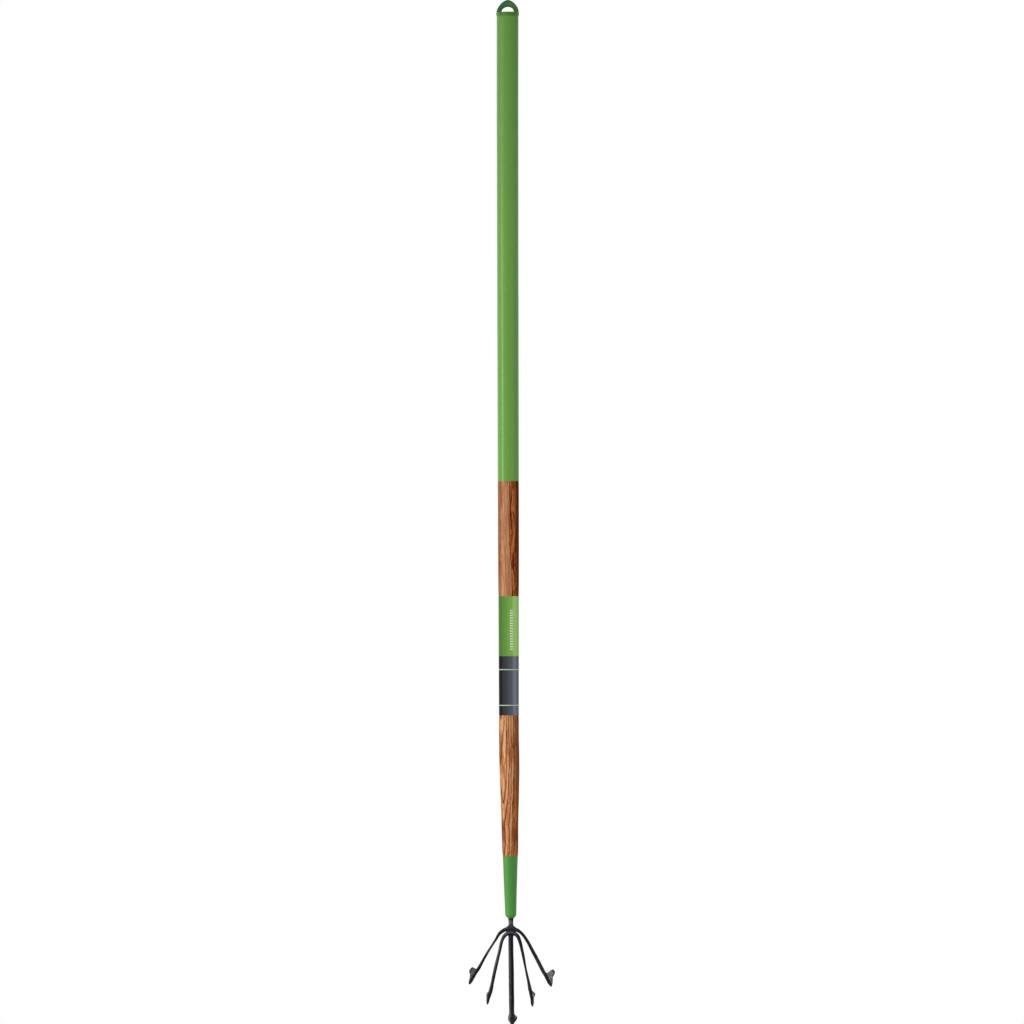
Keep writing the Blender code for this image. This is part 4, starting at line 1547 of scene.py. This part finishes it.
@dataclass(frozen=True)
class Bar:
    """Works out the skin of a tine: bar, shoulder and blade.

    The plate's thick core is at least the first share of its reach, and at most the second share of
    the bar's half width. Its tip has a share of the full thickness and gains the rest over a length.
    """

    tine: Tine
    sampling: Sampling
    weld_reach: float
    crown_radius: float = 0.0
    corner_power: float = 0.76
    wander: Pair = (0.020, 0.024)
    core: Pair = (0.5, 1.05)
    border: float = 0.0008
    tip: Pair = (0.35, 0.008)
    seat: float = 0.0185
    blade_turn: Pair = (0.0520, 0.0234)
    hammered: float = 0.00007
    highlight_side: Spot = (-0.90, -0.44, 0.0)
    highlight_crown: Spot = (-0.20, -0.80, 0.56)

    def path(self, front: Array) -> tuple[Array, Array, Array, Array]:
        """Bends the front view's curve in depth.

        The bar leans back once it has left the welds, and eases forward to its hook. Depth is the
        running sum of each step times the tangent of that angle.

        Args:
            front: Front view samples from crown to point.

        Returns:
            Places, outward direction, forward direction, and length to go.
        """
        tine = self.tine
        to_go = pace(front[::-1])[::-1]
        lean = tine.lean * self.leaving(to_go)
        slant = np.tan(np.radians(lean + (tine.hook - lean) * eased(to_go, *tine.bend)))
        depth = np.cumsum((slant[1:] + slant[:-1]) / 2 * np.diff(to_go))
        places = np.stack([front[:, 0], np.concatenate([[0.0], depth]), front[:, 1]], axis=-1)
        side = 1.0 if front[-1, 0] >= 0.0 else -1.0
        flat = side * unit(np.gradient(front, axis=0))
        outward = np.stack([-flat[:, 1], np.zeros(len(flat)), flat[:, 0]], axis=-1)
        forward = side * np.cross(unit(np.gradient(places, axis=0)), outward)
        return places, outward, forward, pace(places[::-1])[::-1]

    def leaving(self, to_go: Array) -> Array:
        """Eases from 0 to 1 where the bar has left its crown and the welds behind it."""
        return eased(to_go[0] - to_go, self.weld_reach, 2 * self.weld_reach)

    def section(self, left: Array, half_width: Array, half_depth: Array) -> tuple[Array, Array]:
        """Outline of each station's cut: across and through.

        The bar's cut is a rounded rectangle. The blade's is a plate that thins to its edges, with
        the bar running out over its front as a rib.

        Args:
            left: Length to go to the point at each station.
            half_width: Half the bar's width, shaped (stations, 1).
            half_depth: Half the bar's depth, shaped (stations, 1).

        Returns:
            Two arrays shaped (stations, sides).
        """
        blade = self.tine.blade
        turn = full_turn(self.sampling.sides)
        cos, sin = np.cos(turn), np.sin(turn)
        bar_u = signed_power(cos, self.corner_power) * half_width
        bar_v = signed_power(sin, self.corner_power) * half_depth
        out, into = (softly_read(left, side, 0.0005, 5)[:, None] for side in (blade.outer, blade.inner))
        left = left[:, None]
        ear = np.where(cos > 0.0, out, into)
        least, most = self.core
        core = np.minimum(most * half_width, np.maximum(least * ear, ear - self.border))
        near, far = (np.clip(2 * np.abs(cos) - shift, 0.0, 1.0) for shift in (0.0, 1.0))
        blade_u = np.sign(cos) * (core * near + (ear - core) * far)
        thick = blade.edge + (blade.plate - blade.edge) * (1.0 - far**1.5)
        thin, tip_length = self.tip
        thick = thick * (thin + (1.0 - thin) * eased(left, 0.0, tip_length))
        seat = -thick / 2 - (half_depth - thick / 2) * eased(left, 0.0, self.seat)
        face = np.clip(np.abs(sin) * 3.0, 0.0, 1.0) * np.sign(sin)
        run_out = np.clip((left - blade.rib_ends) / (blade.length - blade.rib_ends), 0.0, 1.0)
        crest = np.sqrt(np.clip(1.0 - near**2.2, 0.0, 1.0)) * (sin > 0.0)
        rise = np.clip(half_depth - seat - thick, 0.0, None) * crest * run_out**blade.rib_fade
        blade_v = seat + thick / 2 + thick / 2 * face + rise
        mix = eased(left, blade.length, blade.length - blade.root)
        return bar_u + (blade_u - bar_u) * mix, bar_v + (blade_v - bar_v) * mix

    def rub_and_highlight(self, places: Array, points: Array, left: Array) -> Array:
        """How much painted highlight lies on the coat: on the left flank of the bar and the front of the
        crown.

        A point's facing is its direction from the bar's middle. The flank counts where that
        direction leans left and forward, and the crown where it leans forward and up.

        Args:
            places: The bar's middle at each station.
            points: The bar's points.
            left: Length to go to the point at each station, shaped (stations, 1).

        Returns:
            A share for each point.
        """
        facing = unit(points - places[:, None])
        flank = eased(facing @ np.array(self.highlight_side), 0.30, 0.75)
        over = eased(facing @ np.array(self.highlight_crown), 0.45, 0.85)
        gone = left[0] - left
        bar = eased(gone, 0.004, 0.012) * eased(left, 0.018, 0.026)
        return self.tine.rubbed_and_lit * flank * bar + self.tine.crown_highlight * over * eased(gone, 0.012, 0.006)

    def wear(self, across: Array, half_width: Array, left: Array) -> Array:
        """How far the blade is worn bare: most on its plate, less at its border and its soiled point.

        Args:
            across: How far out each point lies from the tine's middle.
            half_width: Half the bar's width, shaped (stations, 1).
            left: Length to go to the point at each station, shaped (stations, 1).

        Returns:
            A share for each point.
        """
        length, aside = self.tine.blade.length, np.abs(across)
        border = eased(aside / np.maximum(aside.max(axis=1, keepdims=True), TINY), 0.80, 0.94)
        plate = eased(aside / np.maximum(half_width, TINY), 0.85, 1.35) * (1.0 - 0.75 * border)
        soiled = eased(left, 0.012, 0.002)
        return eased(left, length + 0.002, length - 0.006) * (0.14 + 0.46 * plate - 0.14 * soiled)

    def skin(self, front: Array) -> tuple[Array, Array, Array]:
        """The tine's points, how worn each is and how much painted highlight it carries.

        Hammering makes the bar's width and depth wander, and leaves shallow flats. Where the bar has
        a crown, its depth grows from the crown's to its own.

        Args:
            front: Front view samples from crown to point.

        Returns:
            Points shaped (stations, sides, 3), and two marks shaped (stations, sides).
        """
        tine = self.tine
        places, outward, forward, left = self.path(front)
        gone = left[0] - left
        spread = self.leaving(left) if self.crown_radius else 1.0
        wander = Ripple(tine.seed, 0.011, 0.05).at(np.stack([left, 0.3 * left], axis=-1))
        width = softly_read(gone, tine.widths, 0.003, 7)
        half_width = (width / 2 * (1.0 + self.wander[0] * wander))[:, None]
        depth = self.crown_radius + (tine.depth / 2 - self.crown_radius) * spread
        half_depth = (depth * (1.0 - self.wander[1] * wander))[:, None]
        across, through = self.section(left, half_width, half_depth)
        roll = tine.bar_roll * eased(gone, 0.0, (left[0] - tine.blade.length) / 2)
        roll = roll + (tine.blade_roll - roll) * eased(left, *self.blade_turn)
        cos, sin = np.cos(np.radians(roll))[:, None], np.sin(np.radians(roll))[:, None]
        wide, face = outward * cos + forward * sin, forward * cos - outward * sin
        points = places[:, None] + across[..., None] * wide[:, None] + through[..., None] * face[:, None]
        flats = Ripple(tine.seed + 1, 0.0045, 0.016).at(points)
        shallow = self.hammered * eased(left, 0.0, 0.004)[:, None] * flats
        points = points + unit(points - points.mean(axis=1, keepdims=True)) * shallow[..., None]
        left = left[:, None]
        return points, self.wear(across, half_width, left), self.rub_and_highlight(places, points, left)


@dataclass(frozen=True)
class Bead:
    """A weld bead on the head, and the frame node that it stands for where there is one.

    Its path is in millimetres from the front of the middle bar at the crown's height.
    """

    name: str
    path: tuple[Spot, ...]
    radius: float
    pitch: float
    seed: int
    node: str = ""
    # The share of the highlight colour on the bead: a faint even tone by default, and a painted highlight
    # on the top bead.
    rub_and_highlight: float = 0.15
    stations: int = 90
    sides: int = 32
    soften: int = 10
    scallop: float = 0.085
    lump: float = 0.00022

    def surface(self, origin: Array, mirror: float = 1.0) -> Surface:
        """Carries a ring along the smoothed path.

        Its radius closes at both ends like a superellipse and is scalloped by the arc's ripples,
        which lag behind at the bead's edges.

        Args:
            origin: Where the path is measured from.
            mirror: -1 to put it on the left.

        Returns:
            The bead's surface.
        """
        path = np.array(self.path) / 1000 * np.array([mirror, 1.0, 1.0]) + origin
        knots = pace(path)
        even = np.linspace(0.0, knots[-1], self.stations)
        columns = read_at(even, knots, path).T
        kept = {"mode": "reflect", "reflect_type": "odd"}
        spine = np.stack([smoothed(column, self.soften, **kept) for column in columns], axis=-1)
        ahead = unit(np.gradient(spine, axis=0))
        first = unit(np.cross(ahead, np.array([0.13, 0.94, 0.31])))
        second = np.cross(ahead, first)
        turn = full_turn(self.sides)
        share = np.linspace(-0.995, 0.995, self.stations)
        swell = np.sqrt(1.0 - np.abs(share) ** 3.2)[:, None]
        lag = even[:, None] / self.pitch + 0.35 * np.cos(turn)[None, :] ** 2
        skin = self.radius * swell * (1.0 + self.scallop * np.abs(np.sin(lag * math.pi)))
        ring = np.cos(turn)[None, :, None] * first[:, None] + np.sin(turn)[None, :, None] * second[:, None]
        points = spine[:, None] + skin[..., None] * ring
        lumps = self.lump * Ripple(self.seed, 0.002, 0.008).at(points) * swell
        marks = {"wear": np.zeros(skin.shape), "rub_and_highlight": np.full(skin.shape, self.rub_and_highlight)}
        return Surface(points + ring * lumps[..., None], sharp_from=60.0, marks=marks)


@dataclass(frozen=True)
class Head:
    """The forged head: a middle bar with its neck, two bows in front of it, and the welds."""

    sampling: Sampling = Sampling()
    crown_radius: float = 0.0029
    bar_depth: float = 0.0064
    neck_radius: float = 0.0034
    tang_radius: float = 0.0040
    neck_rows: int = 26
    neck_ends: Pair = (0.006, 0.0012)
    waist: Pair = (0.42, 0.26)
    lit_waist: Pair = (0.42, 0.22)
    lit_side: Pair = (-0.50, 0.86)
    lit_most: float = 1.6
    fit: float = 0.0003
    weld_reach: float = 0.0084

    middle: Tine = Tine(
        route=((-0.2, -20), (0.1, -45), (0.5, -90), (0.7, -115), (1.2, -140.5)),
        lean=-4.0,
        hook=60.0,
        bend=(0.0470, 0.0160),
        bar_roll=0.0,
        blade_roll=18.0,
        widths=((0, 7.3), (14, 7.4), (40, 7.6), (60, 7.8), (130, 7.8)),
        seed=31,
        rubbed_and_lit=0.75,
        crown_highlight=0.0,
        blade=Blade(
            outer=(
                (0, 0.6), (1.5, 1.8), (5, 2.6), (10, 3.7), (12, 4.1), (15, 5.5), (19, 6.9),
                (22, 7.5), (24, 7.3), (26, 6.8), (28, 6), (31, 4.6), (34, 3.65),
            ),
            inner=(
                (0, 0.6), (1.5, 1.6), (5, 2.3), (10, 3.1), (15, 4.5), (19, 5.8), (23, 6.9),
                (25, 7.1), (30, 6.8), (32, 6.6), (33, 6.2), (34.5, 4.9), (36, 3.65),
            ),
        ),
    )
    outer_left: Tine = Tine(
        route=((-8.8, -1.6), (-15.4, -5.9), (-22.7, -16.8), (-32.2, -31.5), (-49.3, -60.8), (-61.4, -79.7)),
        lean=-6.0,
        hook=41.0,
        bend=(0.0560, 0.0240),
        bar_roll=5.0,
        blade_roll=40.0,
        widths=(
            (0, 5.8), (10, 5.8), (14, 5.4), (19, 4.9), (24, 4), (29, 3.7), (34, 3.4),
            (39, 3.2), (49, 3.4), (59, 3.8), (69, 4), (84, 4),
        ),
        seed=41,
        rubbed_and_lit=0.25,
        crown_highlight=0.35,
        blade=Blade(
            outer=(
                (0, 1), (0.8, 2.1), (3, 2.9), (6, 3.5), (9, 4), (11.5, 4.4), (13.4, 5.3),
                (15.4, 7.2), (16.2, 10.2), (17.4, 11), (19.4, 11.2), (22.4, 10.8), (25.4, 10.1),
                (27.4, 9.5), (28.9, 7.8), (30.2, 4.8), (31.4, 2.7), (33.4, 1.9),
            ),
            inner=(
                (0, 0.9), (1, 1.6), (3, 2.5), (6, 3.5), (9, 4.5), (12, 5.3), (15.4, 5.8),
                (19.4, 5.8), (23.4, 5.4), (26.4, 4.6), (29.4, 3.2), (32.4, 1.9),
            ),
        ),
    )
    outer_right: Tine = Tine(
        route=((8.8, -2.1), (14.6, -6.0), (23.1, -16.9), (31.0, -31.7), (46.4, -61.0), (58.6, -83.7)),
        lean=-6.0,
        hook=41.0,
        bend=(0.0580, 0.0260),
        bar_roll=28.0,
        blade_roll=30.0,
        widths=(
            (0, 5.8), (10, 5.6), (14, 4.6), (19, 4.1), (24, 4.2), (34, 3.8), (44, 3.8),
            (54, 4.3), (64, 4.6), (84, 4.7),
        ),
        seed=51,
        rubbed_and_lit=0.2,
        crown_highlight=0.25,
        blade=Blade(
            outer=(
                (0, 1.3), (0.8, 2.9), (2, 4), (4, 5.4), (6, 6.5), (8, 7.3), (10.4, 8),
                (11.9, 8.5), (12.7, 10.6), (13.4, 13.1), (14.4, 14.6), (16.4, 15.8), (18.4, 16),
                (20.4, 15.5), (23.4, 14.2), (24.4, 13), (25, 9.8), (25.6, 4.7), (27.4, 2.2),
            ),
            inner=(
                (0, 0.8), (1, 1.2), (4, 1.8), (6, 2.4), (9, 3.4), (12, 4.2), (15.4, 4.6),
                (19.4, 4.7), (23.4, 4.4), (26.4, 3.6), (29.4, 2.2),
            ),
        ),
    )
    inner_left: Tine = Tine(
        route=(
            (-6.2, -1.7), (-10.0, -5.2), (-12.9, -11.0), (-16.5, -25.7), (-23.6, -55.0),
            (-30.0, -84.3), (-35.2, -102.8),
        ),
        lean=-5.0,
        hook=50.0,
        bend=(0.0520, 0.0200),
        bar_roll=22.0,
        blade_roll=62.0,
        widths=(
            (0, 5.8), (8, 6.1), (14, 5.2), (19, 4.4), (29, 4.6), (36, 4), (44, 4), (54, 4.4),
            (74, 4.4), (86, 4),
        ),
        depth=0.0063,
        seed=61,
        rubbed_and_lit=1.0,
        crown_highlight=0.85,
        blade=Blade(
            outer=(
                (0, 1.0), (1, 2.0), (3, 2.9), (6, 3.4), (10, 3.8), (14, 4.2), (17, 4.4), (19.5, 4.1),
                (22, 3.3), (25.4, 2.5), (28, 2.2),
            ),
            inner=(
                (0, 0.9), (1, 1.7), (3, 2.8), (6, 4.2), (10, 5.4), (14, 6.0), (18, 6.2), (21, 5.4),
                (24, 3.8), (28, 2.2),
            ),
            rib_ends=0.0010,
            rib_fade=0.4,
        ),
    )
    inner_right: Tine = Tine(
        route=(
            (6.2, -1.7), (9.9, -5.0), (12.5, -11.0), (16.2, -25.7), (21.9, -55.0),
            (27.9, -84.3), (30.9, -106.9),
        ),
        lean=-5.0,
        hook=43.0,
        bend=(0.0500, 0.0220),
        bar_roll=4.0,
        blade_roll=48.0,
        widths=(
            (0, 5.8), (10, 5.8), (14, 5.4), (24, 5), (34, 4.4), (44, 4.2), (51, 3.7),
            (59, 3.1), (64, 3.2), (74, 3.7), (84, 4.2), (92, 4.3),
        ),
        seed=71,
        rubbed_and_lit=0.3,
        crown_highlight=0.85,
        blade=Blade(
            outer=(
                (0, 1.2), (0.8, 2.5), (2, 3.3), (4, 3.7), (7, 3.8), (10, 3.2), (13, 2.6),
                (15.5, 2.6), (17, 3.6), (18.3, 5.4), (19.3, 6.5), (21, 6.7), (22.5, 6.1),
                (24, 5.5), (26, 4.4), (29, 3.1), (32, 1.75),
            ),
            inner=(
                (0, 0.7), (1, 1.2), (4, 1.9), (7, 2.8), (10, 3.7), (13, 4.3), (16, 4.7),
                (20, 4.8), (24, 4.5), (27, 3.6), (30, 1.75),
            ),
        ),
    )
    paired_beads: tuple[Bead, ...] = (
        Bead(
            "weld_web",
            ((2.2, 1.6, 4.7), (2.8, 1.0, 3.2), (4.6, -0.6, 2.1), (7.4, -2.0, 0.8)),
            radius=0.0011,
            pitch=0.0010,
            seed=81,
        ),
        Bead(
            "weld_side",
            ((4.0, 0.2, 4.0), (5.0, -0.4, 0.0), (4.9, -0.4, -6.1), (4.0, 0.2, -10.3)),
            radius=0.0019,
            pitch=0.0013,
            seed=83,
            node="weld",
        ),
    )
    single_beads: tuple[Bead, ...] = (
        Bead(
            "weld_front_bead",
            ((-7.2, -4.4, -4.5), (0.0, -5.1, -2.9), (7.2, -4.4, -4.7)),
            radius=0.0015,
            pitch=0.0013,
            seed=85,
            node="weld_front",
        ),
        Bead(
            "weld_top_bead",
            ((-4.0, -1.2, 1.8), (0.0, -1.0, 2.6), (4.0, -1.2, 1.8)),
            radius=0.0012,
            pitch=0.0011,
            seed=87,
            # A painted highlight on the top bead.
            rub_and_highlight=0.9,
        ),
        Bead(
            "weld_foot_bead",
            ((-5.2, -1.0, -9.0), (0.0, -0.8, -9.5), (5.2, -1.0, -9.0)),
            radius=0.0018,
            pitch=0.0013,
            seed=89,
        ),
    )

    def crown(self) -> Array:
        """The middle of the outer bow's crown, from the frame.

        Returns:
            Its place.
        """
        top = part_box("outer_tines")[1].z
        depth = self.bar_depth / 2 + self.crown_radius + self.fit
        return np.array([0.0, -depth, top - self.crown_radius])

    def bow(self, left: Tine, right: Tine, drop: float) -> Surface:
        """The skin of a bar bent over the middle one, from its left point to its right.

        Args:
            left: The tine on the left.
            right: The tine on the right.
            drop: How far its crown lies under the outer crown.

        Returns:
            The bow's surface.
        """
        route = np.array([*reversed(left.route), (0.0, 0.0), *right.route]) / 1000
        curve = curve_through(route, True, self.sampling, left.blade.length)
        top = int(np.argmin(np.abs(curve[:, 0])))
        halves = zip(
            Bar(left, self.sampling, self.weld_reach, self.crown_radius).skin(curve[top::-1]),
            Bar(right, self.sampling, self.weld_reach, self.crown_radius).skin(curve[top:]),
        )
        points, wear, rub_and_highlight = (np.concatenate([one[:0:-1], other]) for one, other in halves)
        moved = points + self.crown() - np.array([0.0, 0.0, drop])
        return Surface(moved, sharp_from=38.0, marks={"wear": wear, "rub_and_highlight": rub_and_highlight})

    def middle_bar(self) -> Surface:
        """The skin of the middle bar: a round tang and waisted neck, then the tine.

        Returns:
            The bar's surface.
        """
        height = self.crown()[2]
        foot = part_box("ferrule")[0].z
        route = np.array([(0.0, 0.0), *self.middle.route]) / 1000
        curve = curve_through(route, False, self.sampling, self.middle.blade.length)
        lower, wear, rub_and_highlight = Bar(self.middle, self.sampling, self.weld_reach).skin(curve)
        hidden, joined = self.neck_ends
        rows = np.linspace(foot + hidden, height + joined, self.neck_rows)
        share = (foot - rows) / (foot - height)
        narrowed = (self.neck_radius - self.tang_radius) * bell(share, *self.waist)
        profile = np.stack([self.tang_radius + narrowed, rows - height], axis=-1)
        neck = turned(profile, self.sampling.sides) * np.array([1.0, -1.0, 1.0])
        points = np.concatenate([neck, lower]) + np.array([0.0, 0.0, height])
        turn = full_turn(self.sampling.sides)
        # Painted highlight on the neck's left front, strongest near its waist.
        facing = eased(np.array(self.lit_side) @ (np.cos(turn), np.sin(turn)), 0.35, 0.85)
        lit = self.lit_most * bell(share, *self.lit_waist)[:, None] * facing
        marks = {
            "wear": np.concatenate([np.zeros(lit.shape), wear]),
            "rub_and_highlight": np.concatenate([lit, rub_and_highlight]),
        }
        return Surface(points, sharp_from=38.0, marks=marks)

    def dress(self, steel: Material, weld: Material) -> None:
        """Fits the bars and the beads.

        Args:
            steel: The bars' finish.
            weld: The beads' finish.
        """
        drop = 2 * self.crown_radius + self.fit
        outer = self.bow(self.outer_left, self.outer_right, 0.0)
        inner = self.bow(self.inner_left, self.inner_right, drop)
        fitted(self.middle_bar(), "middle_bar", steel, "dark_steel", "middle_tine")
        fitted(outer, "outer_bow", steel, "dark_steel", "outer_tines")
        fitted(inner, "inner_bow", steel, "dark_steel", "inner_tines")
        origin = np.array([0.0, -self.bar_depth / 2, self.crown()[2]])
        for side in Side:
            word = side.name.lower()
            for bead in self.paired_beads:
                nodes = [f"{bead.node}_{word}"] if bead.node else []
                made = bead.surface(origin, side.value)
                fitted(made, f"{bead.name}_{word}", weld, "dark_steel", *nodes)
        for bead in self.single_beads:
            nodes = [bead.node] if bead.node else []
            fitted(bead.surface(origin), bead.name, weld, "dark_steel", *nodes)


@dataclass(frozen=True)
class Lamp:
    """A soft rectangular lamp: where it hangs, what it points at, its size and its watts."""

    name: str
    place: Spot
    aim: Spot
    size: Pair
    power: float

    def hang(self) -> None:
        """Hangs the lamp, upright, with its back to the line from what it points at."""
        data = bpy.data.lights.new(self.name, "AREA")
        data.shape = "RECTANGLE"
        data.size, data.size_y = self.size
        data.energy = self.power
        lamp = bpy.data.objects.new(self.name, data)
        bpy.context.scene.collection.objects.link(lamp)
        back = unit(np.array(self.place) - np.array(self.aim))
        right = unit(np.cross((0.0, 0.0, 1.0), back))
        matrix = np.eye(4)
        matrix[:3] = np.stack([right, np.cross(back, right), back, self.place], axis=1)
        lamp.matrix_world = Matrix(matrix.tolist())


@dataclass(frozen=True)
class Studio:
    """The floor, the lamps, the world and the camera."""

    floor_height: float = -1.75
    floor_radius: float = 1.95
    floor_rows: int = 41
    floor_glow: float = 0.2
    floor_colour: Colour = (0.86, 0.86, 0.86, 1.0)
    white: Colour = (1.0, 1.0, 1.0, 1.0)
    ambient: float = 0.46
    metres_per_pixel: float = 0.001465
    pixels: int = 1024
    centre_x: float = 0.0038
    centre_z: float = -0.7406
    roll: float = 0.0036
    distance: float = 15.0
    sensor: float = 36.0
    lamps: tuple[Lamp, ...] = (
        Lamp("key_left", (-1.9, -0.95, -0.95), (0.0, 0.0, -0.90), (0.75, 1.7), 30.0),
        Lamp("fill_right", (1.8, -1.7, -0.85), (0.0, 0.0, -0.90), (1.5, 1.5), 9.5),
    )

    def floor(self) -> None:
        """Lays a plain pale disc under the hanging tool, a little paler to the camera.

        A square grid becomes a disc: each part is multiplied by the root of one less half the
        other's square.
        """
        across = np.linspace(-1.0, 1.0, self.floor_rows)
        x, y = np.meshgrid(across, across)
        wide, deep = x * np.sqrt(1.0 - y**2 / 2), y * np.sqrt(1.0 - x**2 / 2)
        flat = self.floor_radius * np.stack([wide, deep], axis=-1)
        points = np.concatenate([flat, np.full_like(flat[..., :1], self.floor_height)], axis=-1)
        piece = Surface(points, Form.SHEET).build("floor")
        hand = Finish("pale floor")
        hand.done(Base_Color=self.floor_colour, Roughness=0.9, Specular_IOR_Level=0.0)
        seen = hand.add("ShaderNodeLightPath").outputs["Is Camera Ray"]
        glow = hand.add("ShaderNodeEmission", {"Strength": hand.scaled(seen, self.floor_glow)})
        lit = hand.add("ShaderNodeAddShader", {0: hand.shader.outputs[0], 1: glow.outputs[0]})
        hand.wire(hand.tree.nodes["Material Output"], "Surface", lit.outputs[0])
        piece.data.materials.append(hand.material)

    def world(self) -> None:
        """Lights the tool softly, and shows the camera and reflections a white surround."""
        world = bpy.data.worlds.new("studio")
        bpy.context.scene.world = world
        world.use_nodes = True
        world.node_tree.nodes.clear()
        hand = Hand(world.node_tree)
        ray = hand.add("ShaderNodeLightPath").outputs
        seen = hand.sum("MAXIMUM", ray["Is Camera Ray"], ray["Is Glossy Ray"])
        seen = hand.sum("MAXIMUM", seen, ray["Is Transmission Ray"])
        soft, white = (
            hand.add("ShaderNodeBackground", {"Color": self.white, "Strength": strength}).outputs[0]
            for strength in (self.ambient, 1.0)
        )
        mixed = hand.add("ShaderNodeMixShader", {0: seen, 1: soft, 2: white})
        hand.add("ShaderNodeOutputWorld", {0: mixed.outputs[0]})

    def camera(self) -> None:
        """Stands a long lens straight in front, rolled by the photograph's slight tilt."""
        data = bpy.data.cameras.new("camera")
        data.sensor_width = self.sensor
        data.lens = self.sensor * self.distance / (self.metres_per_pixel * self.pixels)
        data.clip_end = 100.0
        camera = bpy.data.objects.new("camera", data)
        bpy.context.scene.collection.objects.link(camera)
        tilt = Matrix.Rotation(self.roll, 4, "Y") @ Matrix.Rotation(math.pi / 2, 4, "X")
        move = Matrix.Translation((self.centre_x, -self.distance, self.centre_z))
        camera.matrix_world = move @ tilt
        bpy.context.scene.camera = camera

    def set_up(self) -> None:
        """Builds the whole studio."""
        self.floor()
        self.world()
        for lamp in self.lamps:
            lamp.hang()
        self.camera()
        bpy.context.scene.view_settings.view_transform = "Standard"


def main() -> None:
    """Builds the studio, the finishes and every sub-assembly in order."""
    logging.basicConfig(level=logging.INFO, format="%(name)s: %(message)s")
    Studio().set_up()
    effects = Effects()
    bow = Bow()
    steel = ForgedSteel()
    weld = ForgedSteel("weld steel", coat=tone(12, 12, 20), scale=tone(38, 38, 46), wear=0.0)
    sleeve = Wrap(
        bow,
        name="grip",
        node="grip_sleeve",
        slot="green_grip",
        top_radius=0.01595,
        foot_radius=0.01560,
        thickness=0.00045,
        edge=0.00040,
        seed=3,
    )
    film = Wrap(
        bow,
        name="film",
        node="label_sleeve",
        slot="label_film",
        top_radius=0.01492,
        foot_radius=0.01456,
        thickness=0.00030,
        edge=0.00010,
        seed=5,
        lap=0.00012,
    )
    HangingCap().dress(CapPlastic().build(effects))
    sleeve.dress(SleevePlastic().build(effects))
    film.dress(PrintedFilm().build(effects))
    Shaft(bow).dress(OiledHardwood().build())
    Ferrule(bow).dress(FerruleEnamel().build(effects))
    Head().dress(steel.build(effects), weld.build(effects))


if __name__ == "__main__":
    main()
